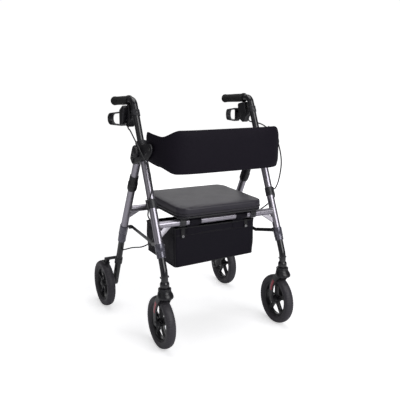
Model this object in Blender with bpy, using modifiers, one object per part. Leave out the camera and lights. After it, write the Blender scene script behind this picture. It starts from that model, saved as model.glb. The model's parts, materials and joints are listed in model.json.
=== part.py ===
"""Four-wheel walker: two hinged aluminium side frames, padded seat, back band, bag and brakes.

Metres, +Z up, the walking direction is -Y and the user walks on the +Y side. X = 0 is the middle
of the walker, so left is +X and right is -X, as the user sees them. The floor is Z = 0. Left
pieces are built first and mirrored. A height named RISE is counted from the frame's foot, just
above the caster crowns.
"""
import math

import bmesh
import bpy
from mathutils import Matrix, Vector
from mathutils.geometry import convex_hull_2d

# Fits
CLEARANCE = 0.0003

# Sizes of the wheels
WHEEL_RADIUS = 0.095
TYRE_WIDTH = 0.0336
TYRE_HEIGHT = 0.0285
AXLE_RADIUS = 0.005
RIM_HALF = 0.0135
RIM_WALL = 0.0075
WHEEL_HUB_RADIUS = 0.0155
WHEEL_SIDES = 26
SPOKES = 5
SPOKE_WIDTH = 0.015
REAR_WHEEL_X = 0.287
REAR_AXLE_Y = 0.2425

# Sizes of the casters
STEM_Y = -0.2745
TRAIL = 0.032
CROWN_GAP = 0.007
CROWN_HEIGHT = 0.0345
CROWN_TOP_RADIUS = 0.0232
CROWN_RADIUS = 0.0285
CROWN_SHIFT = 0.006
ARM_THICKNESS = 0.005
ARM_GAP = 0.0027
STEM_RADIUS = 0.006
STEM_LENGTH = 0.026

# Sizes of the side frames
FRAME_X = 0.246
TUBE_RADIUS = 0.0125
TUBE_WALL = 0.002
LEG_RADIUS = 0.014
LEG_BORE = 0.0128
HANDLE_RADIUS = 0.0124
LEG_LEAN = math.radians(23.35)
REAR_LEAN = math.radians(28.8)
FRONT_TUBE_Y = -0.2064
FRONT_TUBE_RISE = 0.2055
REAR_TUBE_Y = 0.0606
REAR_TUBE_RISE = 0.2105
PIVOT_RISE = 0.424
LEG_FOOT_RISE = 0.1155
LEG_HEAD = 0.0085
REAR_LEG_FOOT_RISE = 0.1015
PLUG_DEPTH = 0.060
LOWER_BEND = 0.085
GUSSET_WIDTH = 0.018
GUSSET_THICKNESS = 0.005
GUSSET_DROP = 0.044
GUSSET_REACH = 0.056
SLEEVE_RADIUS = 0.0168
SLEEVE_LENGTH = 0.032
SLEEVE_SKIRT = 0.017
REAR_SLEEVE_LENGTH = 0.042
REAR_SLEEVE_SKIRT = 0.038
COLLAR_RISE = 0.295
COLLAR_LENGTH = 0.066
COLLAR_RADIUS = 0.0185
BUTTON_RADIUS = 0.0038
BUTTON_RISE = 0.0385
BUTTON_PROUD = 0.0045

# Sizes of the handles
GRIP_END_Y = 0.1735
GRIP_END_RISE = 0.6175
GRIP_SLOPE = math.radians(3.2)
GRIP_LENGTH = 0.157
GRIP_RADIUS = 0.016
GRIP_CAP = 0.005
HANDLE_BEND = 0.029
HANDLE_FOOT_RISE = 0.268

# Sizes of the hubs
HUB_HALF = 0.0215
HUB_RADIUS = 0.0205
HUB_LOBE_RADIUS = 0.0235
HUB_LIP = 0.003
SWING_ROOM = 0.0018
HINGE_BOLT_RADIUS = 0.004
HINGE_HEAD_RADIUS = 0.008
FOLD_ANGLE = math.radians(25)
KNOB_RISE = 0.451
HUB_REACH = 0.033
KNOB_RADIUS = 0.021
KNOB_DEPTH = 0.013
TONGUE_THICKNESS = 0.005
TONGUE_RADIUS = 0.018

# Sizes of the seat
SEAT_HALF_WIDTH = 0.175
SEAT_FRONT = 0.044
SEAT_REAR = 0.0149
SEAT_CORNER = 0.042
SEAT_LIFT = 0.0213
BOARD_THICKNESS = 0.006
BOARD_INSET = 0.003
PAD_THICKNESS = 0.033
CLAMP_X = 0.146
CLAMP_WALL = 0.0032
SADDLE_X = 0.152
CLAMP_WIDTH = 0.024

# Sizes of the back band
BAND_OFFSET = 0.0027
BAND_REACH = 0.1445
BAND_Y = -0.1469
BAND_THICKNESS = 0.0138
BAND_MIDDLE_RISE = 0.464
BAND_HEIGHT = 0.147

# Sizes of the bag
BAG_HALF_WIDTH = 0.163
BAG_LENGTH = 0.262
BAG_WALL = 0.0025
BAG_CORNER = 0.013
BAG_BOTTOM_RISE = 0.040
BAG_FRONT_RISE = 0.186
BAG_REAR_RISE = 0.156
LOOP_X = 0.062
LOOP_WIDTH = 0.063
LOOP_THICKNESS = 0.0018

# Sizes of the fold stays
STAY_WIDTH = 0.013
STAY_THICKNESS = 0.004
STAY_PIN_RADIUS = 0.003
STAY_HEAD_RADIUS = 0.0048
STAY_BOSS_RADIUS = 0.008
STAY_FRONT_Y = -0.228
STAY_FRONT_RISE = 0.138
STAY_KNUCKLE_Y = -0.125
STAY_KNUCKLE_RISE = 0.116
STAY_REAR_Y = 0.085
STAY_REAR_RISE = 0.133

# Sizes of the brakes
LEVER_PIVOT_Y = 0.020
LEVER_PIVOT_RISE = 0.555
LEVER_FRONT = 0.046
LEVER_BACK = 0.155
LEVER_FLARE = 0.020
NECK_HALF = 0.008
STRAP_WIDTH = 0.023
STRAP_THICKNESS = 0.0045
HOUSING_HALF = 0.0135
CASE_DEPTH = 0.016
CHEEK_GAP = 0.0006
HOUSING_RISE = 0.5825
HOUSING_RING = 0.0165
ADJUSTER_OFFSET = 0.0167
ADJUSTER_RADIUS = 0.004
CABLE_RADIUS = 0.0025
SHOE_GAP = 0.003
SHOE_THICKNESS = 0.0055
SHOE_INNER = 0.013
SHOE_OUTER = 0.0115
SHOE_PIVOT_Y = 0.196
SHOE_PIVOT_HEIGHT = 0.1185
SHOE_BARREL = 0.0065
BRACKET_LENGTH = 0.028
CLIP_RISE = 0.276
CLIP_LENGTH = 0.030
CLIP_WALL = 0.0017

# Heights and places that follow from the sizes
AXLE_Z = WHEEL_RADIUS
CROWN_Z = AXLE_Z + WHEEL_RADIUS + CROWN_GAP
FRAME_Z = CROWN_Z + CROWN_HEIGHT + 2 * CLEARANCE
FRONT_AXLE_Y = STEM_Y + TRAIL
FRONT_TUBE_Z = FRAME_Z + FRONT_TUBE_RISE
REAR_TUBE_Z = FRAME_Z + REAR_TUBE_RISE
RIM_RADIUS = WHEEL_RADIUS - TYRE_HEIGHT
LEG_TOP_RISE = KNOB_RISE + HUB_REACH
HUB_RISE = KNOB_RISE - HUB_REACH
SEAT_SPAN = math.hypot(REAR_TUBE_Y - FRONT_TUBE_Y, REAR_TUBE_Z - FRONT_TUBE_Z)
BAND_HALF_WIDTH = FRAME_X + BAND_OFFSET
CABLE_OFFSET = LEG_RADIUS + CABLE_RADIUS + CLIP_WALL
STAY_FRONT_X = FRAME_X - SLEEVE_RADIUS - 0.001
STAY_REAR_X = STAY_FRONT_X - STAY_THICKNESS - 0.0011

# Routes of the cables, as (distance from the middle, y, z): above the clip and below it
UPPER_ROUTES = {
    "left": [(0.2650, -0.036, 0.757), (0.2720, -0.085, 0.750), (0.2830, -0.150, 0.729),
             (0.2890, -0.178, 0.660), (0.2820, -0.179, 0.590)],
    "right": [(0.2660, -0.038, 0.755), (0.2760, -0.085, 0.741), (0.2880, -0.132, 0.714),
              (0.2890, -0.160, 0.660), (0.2790, -0.176, 0.595)],
}
LOWER_ROUTES = {
    "left": [(0.2560, -0.164, 0.462), (0.2330, -0.145, 0.436), (0.2070, -0.105, 0.402),
             (0.1990, -0.040, 0.352), (0.2040, 0.030, 0.306), (0.2220, 0.085, 0.281)],
    "right": [(0.2560, -0.164, 0.462), (0.2330, -0.148, 0.430), (0.2060, -0.112, 0.388),
              (0.1970, -0.050, 0.335), (0.2030, 0.025, 0.296), (0.2220, 0.085, 0.279)],
}

# Colour, roughness and metallic value of each finish
FINISHES = {
    "silver": ((0.42, 0.41, 0.44), 0.32, 1.0),
    "black_paint": ((0.02, 0.02, 0.022), 0.35, 0.6),
    "black_plastic": ((0.022, 0.022, 0.025), 0.5, 0.0),
    "grip_rubber": ((0.018, 0.018, 0.02), 0.75, 0.0),
    "tyre": ((0.045, 0.045, 0.05), 0.8, 0.0),
    "leatherette": ((0.14, 0.135, 0.16), 0.5, 0.0),
    "fabric": ((0.02, 0.02, 0.024), 0.85, 0.0),
    "zinc": ((0.35, 0.35, 0.36), 0.4, 1.0),
    "cable": ((0.015, 0.015, 0.017), 0.45, 0.0),
}

LEFT = Vector((1, 0, 0))
UP = Vector((0, 0, 1))
LEG_UP = Vector((0, math.sin(LEG_LEAN), math.cos(LEG_LEAN)))
REAR_UP = Vector((0, -math.sin(REAR_LEAN), math.cos(REAR_LEAN)))
GRIP_BACK = Vector((0, math.cos(GRIP_SLOPE), -math.sin(GRIP_SLOPE)))


def clear_scene():
    """Remove every object, so that the script can be run again."""
    for obj in list(bpy.data.objects):
        bpy.data.objects.remove(obj, do_unlink=True)


def new_collection(name):
    """Make an empty collection in the scene."""
    collection = bpy.data.collections.new(name)
    bpy.context.scene.collection.children.link(collection)
    return collection


# Frame geometry


def leg_point(rise):
    """Point on the axis of the left front leg."""
    return Vector((FRAME_X, FRONT_TUBE_Y + (rise - FRONT_TUBE_RISE) * math.tan(LEG_LEAN), FRAME_Z + rise))


def rear_leg_point(rise):
    """Point on the axis of the left rear leg."""
    return Vector((FRAME_X, REAR_TUBE_Y - (rise - REAR_TUBE_RISE) * math.tan(REAR_LEAN), FRAME_Z + rise))


def pivot_point():
    """Centre of the left hub's hinge, on the rear leg's axis."""
    return rear_leg_point(PIVOT_RISE)


def grip_end():
    """Rear end of the left grip, on its axis."""
    return Vector((FRAME_X, GRIP_END_Y, FRAME_Z + GRIP_END_RISE))


def rear_foot():
    """Lower end of the left rear lower tube, in front of the axle."""
    return Vector((FRAME_X, REAR_AXLE_Y - 0.016, AXLE_Z + 0.006))


def rear_corner():
    """Place below the left rear leg's foot where the lower tube bends."""
    return rear_leg_point(REAR_LEG_FOOT_RISE + 0.0015)


def lower_down():
    """Direction of the left rear lower tube, from its bend to its foot."""
    return (rear_foot() - rear_corner()).normalized()


def lever_pivot():
    """Pivot of the left brake lever."""
    return Vector((FRAME_X, LEVER_PIVOT_Y, FRAME_Z + LEVER_PIVOT_RISE))


def shoe_pivot():
    """Pivot of the left brake shoe."""
    return Vector((FRAME_X, SHOE_PIVOT_Y, AXLE_Z + SHOE_PIVOT_HEIGHT))


def stay_points():
    """Rear lug, knuckle and front lug of the fold stays, in the side plane."""
    return (Vector((0, STAY_REAR_Y, FRAME_Z + STAY_REAR_RISE)),
            Vector((0, STAY_KNUCKLE_Y, FRAME_Z + STAY_KNUCKLE_RISE)),
            Vector((0, STAY_FRONT_Y, FRAME_Z + STAY_FRONT_RISE)))


def lines_cross(point_a, direction_a, point_b, direction_b):
    """Where two lines in one side plane cross."""
    offset = point_b - point_a
    cross = direction_a.y * direction_b.z - direction_a.z * direction_b.y
    distance = (offset.y * direction_b.z - offset.z * direction_b.y) / cross
    return point_a + direction_a * distance


# Mesh makers


def tool_object(name, mesh):
    """Put a mesh in the collection of cutters and helpers."""
    obj = bpy.data.objects.new(name, mesh)
    CUTTERS.objects.link(obj)
    obj.hide_render = True
    obj.display_type = "WIRE"
    return obj


def from_bmesh(name, bm):
    """Make an object of a bmesh, with its faces pointing out."""
    bmesh.ops.recalc_face_normals(bm, faces=bm.faces)
    mesh = bpy.data.meshes.new(name)
    bm.to_mesh(mesh)
    bm.free()
    return tool_object(name, mesh)


def evaluated_mesh(obj):
    """The mesh of an object with its modifiers applied."""
    bpy.context.view_layer.update()
    graph = bpy.context.evaluated_depsgraph_get()
    return bpy.data.meshes.new_from_object(obj.evaluated_get(graph))


def made_mesh(name, source, place):
    """Turn a curve or a modified object into a welded mesh, placed by a matrix."""
    CUTTERS.objects.link(source)
    bm = bmesh.new()
    bm.from_mesh(evaluated_mesh(source))
    bpy.data.objects.remove(source, do_unlink=True)
    bmesh.ops.remove_doubles(bm, verts=bm.verts, dist=1e-6)
    bmesh.ops.transform(bm, matrix=place, verts=bm.verts)
    return from_bmesh(name, bm)


def facing(axis):
    """Rotation that turns +Z to a direction."""
    return UP.rotation_difference(Vector(axis)).to_matrix().to_4x4()


def cylinder(start, end, radius, sides=16, name="cylinder"):
    """A cylinder between two points."""
    start, end = Vector(start), Vector(end)
    bm = bmesh.new()
    bmesh.ops.create_cone(bm, cap_ends=True, segments=sides, radius1=radius, radius2=radius,
                          depth=(end - start).length)
    place = Matrix.Translation((start + end) / 2) @ facing(end - start)
    bmesh.ops.transform(bm, matrix=place, verts=bm.verts)
    return from_bmesh(name, bm)


def cross_hole(centre, radius, sides=12):
    """Cutter for a hole along X through a piece of a side frame."""
    reach = LEFT * 4 * LEG_RADIUS
    return cylinder(centre - reach, centre + reach, radius + CLEARANCE, sides, "hole")


def box(low, high, name="box"):
    """A box between two corners."""
    low, high = Vector(low), Vector(high)
    bm = bmesh.new()
    place = Matrix.Translation((low + high) / 2) @ Matrix.Diagonal((*(high - low), 1.0))
    bmesh.ops.create_cube(bm, size=1.0, matrix=place)
    return from_bmesh(name, bm)


def bar(start, end, width_direction, width, thickness, name="bar"):
    """A flat bar between two points."""
    along = (end - start).normalized()
    across = (width_direction - along * width_direction.dot(along)).normalized()
    turn = Matrix((along, across, along.cross(across))).transposed().to_4x4()
    size = Matrix.Diagonal(((end - start).length, width, thickness, 1.0))
    bm = bmesh.new()
    bmesh.ops.create_cube(bm, size=1.0, matrix=Matrix.Translation((start + end) / 2) @ turn @ size)
    return from_bmesh(name, bm)


def turned(profile, origin, axis, sides=16, closed=True, name="turned"):
    """A turned solid: (radius, height) points spun about an axis, down the outer side first."""
    mesh = bpy.data.meshes.new(name)
    edges = [(i, i + 1) for i in range(len(profile) - 1)]
    if closed:
        edges.append((len(profile) - 1, 0))
    mesh.from_pydata([(radius, 0.0, height) for radius, height in profile], edges, [])
    source = bpy.data.objects.new(name, mesh)
    screw = source.modifiers.new("spin", "SCREW")
    screw.steps = sides
    screw.render_steps = sides
    screw.use_merge_vertices = True
    screw.merge_threshold = 1e-5
    return made_mesh(name, source, Matrix.Translation(Vector(origin)) @ facing(axis))


def pipe(start, end, radius, bore, sides=16, name="pipe"):
    """A straight tube with open ends."""
    length = (end - start).length
    profile = [(radius, length), (radius, 0.0), (bore, 0.0), (bore, length)]
    return turned(profile, start, end - start, sides, name=name)


def bolt(start, end, radius, head_radius, head_height, sides=10, name="bolt"):
    """A bolt with a low head at both ends, whose shank runs between two points."""
    length = (end - start).length
    profile = [(0.0, length + head_height), (head_radius * 0.8, length + head_height),
               (head_radius, length + head_height * 0.6), (head_radius, length), (radius, length),
               (radius, 0.0), (head_radius, 0.0), (head_radius, -head_height * 0.6),
               (head_radius * 0.8, -head_height), (0.0, -head_height)]
    return turned(profile, start, end - start, sides, closed=False, name=name)


def tube_bore(points):
    """Cutter for the inside of a round tube, along points that pass its open ends."""
    return rod(points, HANDLE_RADIUS - TUBE_WALL, name="tube_bore")


def rod(points, radius, sides=16, name="rod"):
    """A round bar or cable along a chain of points."""
    curve = bpy.data.curves.new(name, "CURVE")
    curve.dimensions = "3D"
    curve.bevel_depth = radius
    curve.bevel_resolution = (sides - 4) // 2
    curve.use_fill_caps = True
    spline = curve.splines.new("POLY")
    spline.points.add(len(points) - 1)
    for place, point in zip(spline.points, points):
        place.co = (*point, 1.0)
    return made_mesh(name, bpy.data.objects.new(name, curve), Matrix.Identity(4))


def flat_shape(outline, low, high, turn, name):
    """A flat outline, extruded from low to high along its normal."""
    curve = bpy.data.curves.new(name, "CURVE")
    curve.dimensions = "2D"
    curve.fill_mode = "BOTH"
    curve.extrude = (high - low) / 2
    spline = curve.splines.new("POLY")
    spline.points.add(len(outline) - 1)
    for place, point in zip(spline.points, outline):
        place.co = (point[0], point[1], 0.0, 1.0)
    spline.use_cyclic_u = True
    source = bpy.data.objects.new(name, curve)
    return made_mesh(name, source, turn @ Matrix.Translation((0, 0, (high + low) / 2)))


def side_plate(outline, x_low, x_high, name="plate"):
    """A plate with a (y, z) outline, between two x planes."""
    turn = Matrix(((0, 0, 1, 0), (1, 0, 0, 0), (0, 1, 0, 0), (0, 0, 0, 1)))
    return flat_shape(outline, x_low, x_high, turn, name)


def level_plate(outline, z_low, z_high, name="plate"):
    """A plate with an (x, y) outline, between two heights."""
    return flat_shape(outline, z_low, z_high, Matrix.Identity(4), name)


def hull_outline(circles, steps=14):
    """Outline of the tightest band round some (y, z, radius) circles."""
    points = []
    for y, z, radius in circles:
        for i in range(steps):
            angle = 2 * math.pi * i / steps
            points.append(Vector((y + radius * math.cos(angle), z + radius * math.sin(angle))))
    return [points[i] for i in convex_hull_2d(points)]


def strip_outline(centres, widths, end_steps=6):
    """Outline of a strip of changing width along (y, z) points, with a round last end."""
    sides = ([], [])
    for i, (centre, width) in enumerate(zip(centres, widths)):
        before = centres[max(i - 1, 0)]
        after = centres[min(i + 1, len(centres) - 1)]
        along = (after - before).normalized()
        normal = Vector((-along.y, along.x))
        sides[0].append(centre + normal * width / 2)
        sides[1].append(centre - normal * width / 2)
    along = (centres[-1] - centres[-2]).normalized()
    start = math.atan2(along.y, along.x) + math.pi / 2
    cap = []
    for i in range(1, end_steps):
        angle = start - math.pi * i / end_steps
        cap.append(centres[-1] + Vector((math.cos(angle), math.sin(angle))) * widths[-1] / 2)
    return sides[0] + cap + sides[1][::-1]


def rounded_rectangle(half_width, y_low, y_high, corner, steps=5):
    """Outline of a rectangle with round corners, as (x, y) points."""
    centres = [(half_width - corner, y_high - corner), (corner - half_width, y_high - corner),
               (corner - half_width, y_low + corner), (half_width - corner, y_low + corner)]
    outline = []
    for quarter, (x, y) in enumerate(centres):
        for i in range(steps + 1):
            angle = math.pi / 2 * (quarter + i / steps)
            outline.append((x + corner * math.cos(angle), y + corner * math.sin(angle)))
    return outline


def bent_path(points, bend_radius, steps=5):
    """A chain of points with each inner corner replaced by an arc."""
    path = [points[0]]
    for before, corner, after in zip(points, points[1:], points[2:]):
        to_before = (before - corner).normalized()
        to_after = (after - corner).normalized()
        half = to_before.angle(to_after) / 2
        centre = corner + (to_before + to_after).normalized() * bend_radius / math.sin(half)
        first = corner + to_before * bend_radius / math.tan(half) - centre
        last = corner + to_after * bend_radius / math.tan(half) - centre
        whole = first.rotation_difference(last)
        for i in range(steps + 1):
            turn = whole.copy()
            turn.angle = whole.angle * i / steps
            path.append(centre + turn @ first)
    path.append(points[-1])
    return path


def smooth_path(points, spacing):
    """A smooth curve through some points, as points about one spacing apart."""
    padded = [2 * points[0] - points[1]] + points + [2 * points[-1] - points[-2]]
    path = []
    for a, b, c, d in zip(padded, padded[1:], padded[2:], padded[3:]):
        steps = max(1, round((c - b).length / spacing))
        for i in range(steps):
            t = i / steps
            path.append(0.5 * (2 * b + (c - a) * t + (2 * a - 5 * b + 4 * c - d) * t * t
                               + (3 * b - a - 3 * c + d) * t ** 3))
    path.append(points[-1])
    return path


def hulled(rings, name="hulled"):
    """The tightest solid round some level circles, each (x, y, z, radius)."""
    bm = bmesh.new()
    for x, y, z, radius in rings:
        bmesh.ops.create_circle(bm, segments=16, radius=radius, matrix=Matrix.Translation((x, y, z)))
    hull = bmesh.ops.convex_hull(bm, input=bm.verts)
    unused = [v for v in hull["geom_interior"] + hull["geom_unused"] if isinstance(v, bmesh.types.BMVert)]
    bmesh.ops.delete(bm, geom=unused, context="VERTS")
    return from_bmesh(name, bm)


# Joining, cutting and naming


def combine(obj, others, operation):
    """Add one Boolean modifier for each other object."""
    for other in others:
        modifier = obj.modifiers.new(operation.lower(), "BOOLEAN")
        modifier.operation = operation
        modifier.solver = "EXACT"
        modifier.object = other
    return obj


def joined(obj, *others):
    """Fuse other solids to a solid."""
    return combine(obj, others, "UNION")


def cut(obj, *others):
    """Cut other solids out of a solid."""
    return combine(obj, others, "DIFFERENCE")


def applied(obj):
    """A plain mesh copy of an object, with its modifiers applied."""
    return tool_object(obj.name + "_applied", evaluated_mesh(obj))


def twin(obj):
    """The mirrored right copy of a left piece."""
    mesh = evaluated_mesh(obj)
    mesh.transform(Matrix.Scale(-1, 4, LEFT))
    mesh.flip_normals()
    return tool_object(obj.name + "_twin", mesh)


def paint(obj, finish):
    """Give an object its own material."""
    colour, roughness, metallic = FINISHES[finish]
    surface = bpy.data.materials.new(obj.name + "_" + finish)
    surface.use_nodes = True
    shader = surface.node_tree.nodes["Principled BSDF"]
    shader.inputs["Base Color"].default_value = (*colour, 1.0)
    shader.inputs["Roughness"].default_value = roughness
    shader.inputs["Metallic"].default_value = metallic
    obj.data.materials.clear()
    obj.data.materials.append(surface)


def part(name, obj, finish, origin=(0, 0, 0)):
    """Make an object a named part, with its origin at a point and smooth round faces."""
    CUTTERS.objects.unlink(obj)
    WALKER.objects.link(obj)
    obj.name = name
    obj.data.name = name
    obj.hide_render = False
    obj.display_type = "TEXTURED"
    obj.data.transform(Matrix.Translation(-Vector(origin)))
    obj.location = origin
    obj.data.shade_smooth()
    obj.data.set_sharp_from_angle(angle=math.radians(35))
    paint(obj, finish)
    return obj


def left_and_right(name, obj, finish, origin=(0, 0, 0)):
    """Two parts: a left piece and its mirrored right copy."""
    right = twin(obj)
    part(name + "_left", obj, finish, origin)
    part(name + "_right", right, finish, (-origin[0], origin[1], origin[2]))


# Front frame


def cross_tube(middle, leg_low, leg_high, leg_up):
    """A cross tube between two legs, with a welded gusset bar at each end."""
    across = 2 * FRAME_X * LEFT
    flip = Vector((-1, 1, 1))
    gusset = bar(middle - leg_up * GUSSET_DROP, middle - LEFT * GUSSET_REACH, leg_up.cross(LEFT),
                 GUSSET_THICKNESS, GUSSET_WIDTH)
    bore = cylinder(middle - across - LEFT * 0.02, middle + LEFT * 0.02, TUBE_RADIUS - TUBE_WALL)
    tube = joined(cylinder(middle - across, middle, TUBE_RADIUS), gusset, twin(gusset))
    return cut(tube, bore, cylinder(leg_low, leg_high, LEG_RADIUS + CLEARANCE),
               cylinder(leg_low * flip, leg_high * flip, LEG_RADIUS + CLEARANCE))


def make_front_legs():
    """Front legs, open so that the handles slide inside, and the cross tube that carries the seat."""
    top = leg_point(LEG_TOP_RISE)
    foot = leg_point(LEG_FOOT_RISE)
    stud = leg_point(KNOB_RISE)
    stud_hole = cylinder(stud, stud + LEFT * 2 * LEG_RADIUS, HINGE_BOLT_RADIUS + CLEARANCE, 12)
    left_and_right("front_leg", cut(pipe(foot, top, LEG_RADIUS, LEG_BORE), stud_hole), "silver")
    tube = cross_tube(leg_point(FRONT_TUBE_RISE), foot, top, LEG_UP)
    part("front_cross_tube", tube, "silver")


def stay_lug(point, x_end):
    """Boss, pin and rivet head that carry one end of a fold stay."""
    x_head = x_end - STAY_THICKNESS - 2 * CLEARANCE

    def along_x(x_from, x_to, radius, sides):
        return cylinder((x_from, point.y, point.z), (x_to, point.y, point.z), radius, sides)

    return (along_x(FRAME_X, x_end, STAY_BOSS_RADIUS, 16),
            along_x(x_end + 0.003, x_head - 0.0005, STAY_PIN_RADIUS, 12),
            along_x(x_head, x_head - 0.0014, STAY_HEAD_RADIUS, 12))


def lower_tube(path, step, up, down, length, skirt, lug, lug_x):
    """A lower tube plugged into a leg, with the sleeve over the leg's foot and a stay's lug."""
    boss, pin, head = stay_lug(lug, lug_x)
    sleeve = joined(cylinder(step - up * 0.002, step + up * length, SLEEVE_RADIUS),
                    cylinder(step + down * skirt, step + up * 0.004, SLEEVE_RADIUS - 0.001), boss)
    pocket = cylinder(step - up * CLEARANCE, step + up * (length + 0.02), LEG_RADIUS + CLEARANCE)
    return joined(cut(sleeve, pocket), rod(path, HANDLE_RADIUS), pin, head)


def make_front_lower_legs():
    """Black lower tubes of the front legs, bent to the upright caster stems."""
    stem = Vector((FRAME_X, STEM_Y, FRAME_Z))
    corner = lines_cross(leg_point(0), LEG_UP, stem, UP)
    top = leg_point(LEG_FOOT_RISE + PLUG_DEPTH)
    path = bent_path([top, corner, stem + UP * 0.012], LOWER_BEND)
    inside = bent_path([top + LEG_UP * 0.01, corner, stem + UP * (STEM_LENGTH + 0.004)], LOWER_BEND)
    tube = lower_tube(path, leg_point(LEG_FOOT_RISE), LEG_UP, -LEG_UP, SLEEVE_LENGTH, SLEEVE_SKIRT,
                      stay_points()[2], STAY_FRONT_X)
    cup = turned([(0.0, 0.022), (0.0136, 0.022), (0.0165, 0.016), (0.0165, 0.001), (0.0155, 0.0),
                  (0.0, 0.0)], stem, UP, 16, closed=False)
    bore = cylinder(stem - UP * 0.01, stem + UP * STEM_LENGTH, STEM_RADIUS + CLEARANCE)
    button_hole = cross_hole(button_point(), BUTTON_RADIUS)
    tube = cut(joined(tube, cup), tube_bore(inside), bore, button_hole)
    left_and_right("front_lower_leg", tube, "black_paint")


def button_point():
    """Centre of the release button's cross hole in the left lower tube."""
    return Vector((FRAME_X, STEM_Y + 0.0006, FRAME_Z + BUTTON_RISE))


def make_buttons():
    """Release buttons: a cross pin with a round head on each side of each caster tube."""
    half = HANDLE_RADIUS + BUTTON_PROUD
    profile = [(0.0, half), (BUTTON_RADIUS * 0.6, half), (BUTTON_RADIUS, half - 0.0015),
               (BUTTON_RADIUS, 0.0015 - half), (BUTTON_RADIUS * 0.6, -half), (0.0, -half)]
    button = turned(profile, button_point(), LEFT, 12, closed=False)
    left_and_right("release_button", button, "zinc", tuple(button_point()))


def backrest_tongue():
    """Tongue from the left hub along the outer face of the back band, and its two rivets."""
    x = BAND_HALF_WIDTH + BAND_THICKNESS / 2 + CLEARANCE
    knob = leg_point(KNOB_RISE)
    circles = [(knob.y - 0.005, knob.z + 0.008, TONGUE_RADIUS),
               (knob.y - 0.094, knob.z + 0.020, TONGUE_RADIUS),
               (knob.y - 0.070, knob.z - 0.002, TONGUE_RADIUS)]
    pieces = [side_plate(hull_outline(circles, 12), x, x + TONGUE_THICKNESS)]
    for y, z in ((knob.y - 0.062, knob.z + 0.002), (knob.y - 0.094, knob.z + 0.020)):
        face = Vector((x + TONGUE_THICKNESS - 0.001, y, z))
        pieces.append(cylinder(face, face + LEFT * 0.003, 0.0055, 8))
    return pieces


def swing_space(pivot):
    """Space that the rear leg's head sweeps in the hub while the frame folds."""
    room = LEG_RADIUS + SWING_ROOM + 0.0022
    rest_down = -REAR_UP
    fold_down = Matrix.Rotation(-FOLD_ANGLE, 3, "X") @ rest_down
    circles = [(pivot.y, pivot.z, room)]
    for direction in (rest_down, fold_down):
        end = pivot + direction * 0.07
        circles.append((end.y, end.z, room))
    half = LEG_RADIUS + SWING_ROOM
    return side_plate(hull_outline(circles, 16), FRAME_X - half, FRAME_X + half)


def make_hubs():
    """Moulded hubs: a clamp round the leg, two cheeks for the rear leg and the backrest's tongue."""
    pivot = pivot_point()
    low = leg_point(HUB_RISE)
    high = leg_point(LEG_TOP_RISE) + LEG_UP * HUB_LIP
    knob = leg_point(KNOB_RISE)
    bulge = (pivot + knob) / 2 + Vector((0, 0.006, 0.008))
    outline = hull_outline([(pivot.y, pivot.z, HUB_LOBE_RADIUS), (bulge.y, bulge.z, 0.027),
                            (knob.y, knob.z, HUB_RADIUS), (low.y, low.z + 0.018, HUB_RADIUS * 0.9)])
    body = side_plate(outline, FRAME_X - HUB_HALF, FRAME_X + HUB_HALF)
    leg_bore = cylinder(leg_point(LEG_FOOT_RISE), leg_point(LEG_TOP_RISE) + LEG_UP * CLEARANCE,
                        LEG_RADIUS + CLEARANCE)
    handle_bore = cylinder(low, high + LEG_UP * 2 * HUB_REACH, HANDLE_RADIUS + CLEARANCE)
    stud_hole = cylinder(knob, knob + LEFT * 0.04, HINGE_BOLT_RADIUS + CLEARANCE, 12)
    hub = joined(body, cylinder(low, high, HUB_RADIUS), *backrest_tongue())
    hub = cut(hub, leg_bore, handle_bore, swing_space(pivot), cross_hole(pivot, HINGE_BOLT_RADIUS),
              stud_hole)
    left_and_right("hub", hub, "black_plastic")


def make_hinge_bolts():
    """Hinge bolts through the hubs."""
    reach = LEFT * (HUB_HALF + CLEARANCE)
    hinge = bolt(pivot_point() - reach, pivot_point() + reach, HINGE_BOLT_RADIUS, HINGE_HEAD_RADIUS,
                 0.007, 12)
    left_and_right("hinge_bolt", hinge, "zinc")


def make_knobs():
    """Hand knobs that clamp the height of the handles."""
    face = leg_point(KNOB_RISE) + LEFT * (HUB_HALF + 2 * CLEARANCE)
    tip = HANDLE_RADIUS + 2 * CLEARANCE - HUB_HALF - 2 * CLEARANCE
    head = turned([(0.0, KNOB_DEPTH), (KNOB_RADIUS * 0.7, KNOB_DEPTH),
                   (KNOB_RADIUS - 0.002, KNOB_DEPTH - 0.002), (KNOB_RADIUS, KNOB_DEPTH - 0.005),
                   (KNOB_RADIUS, 0.003), (KNOB_RADIUS - 0.002, 0.0), (HINGE_BOLT_RADIUS, 0.0),
                   (HINGE_BOLT_RADIUS, tip), (0.0, tip)], face, LEFT, 20, closed=False)
    left_and_right("height_knob", head, "black_plastic", tuple(face))


def make_cable_clips():
    """Clips that hold the brake cables on the outer side of the front legs."""
    low = leg_point(CLIP_RISE - CLIP_LENGTH / 2)
    high = leg_point(CLIP_RISE + CLIP_LENGTH / 2)
    reach = LEG_UP * 0.01
    channel = LEFT * CABLE_OFFSET
    ring = cylinder(low, high, LEG_RADIUS + CLEARANCE + CLIP_WALL)
    rib = cylinder(low + channel, high + channel, CABLE_RADIUS + CLIP_WALL, 12)
    leg_space = cylinder(low - reach, high + reach, LEG_RADIUS + CLEARANCE)
    cable_space = cylinder(low + channel - reach, high + channel + reach,
                           CABLE_RADIUS + CLEARANCE, 12)
    left_and_right("cable_clip", cut(joined(ring, rib), leg_space, cable_space), "black_plastic")


# Rear frame


def make_rear_legs():
    """Rear legs, which hang on the hinge bolts, and the cross tube that the seat rests on."""
    top = pivot_point() + REAR_UP * LEG_HEAD
    foot = rear_leg_point(REAR_LEG_FOOT_RISE)
    leg = cut(pipe(foot, top, LEG_RADIUS, LEG_BORE), cross_hole(pivot_point(), HINGE_BOLT_RADIUS))
    left_and_right("rear_leg", leg, "silver")
    tube = cross_tube(rear_leg_point(REAR_TUBE_RISE), foot, top, REAR_UP)
    part("rear_cross_tube", tube, "silver")


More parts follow.
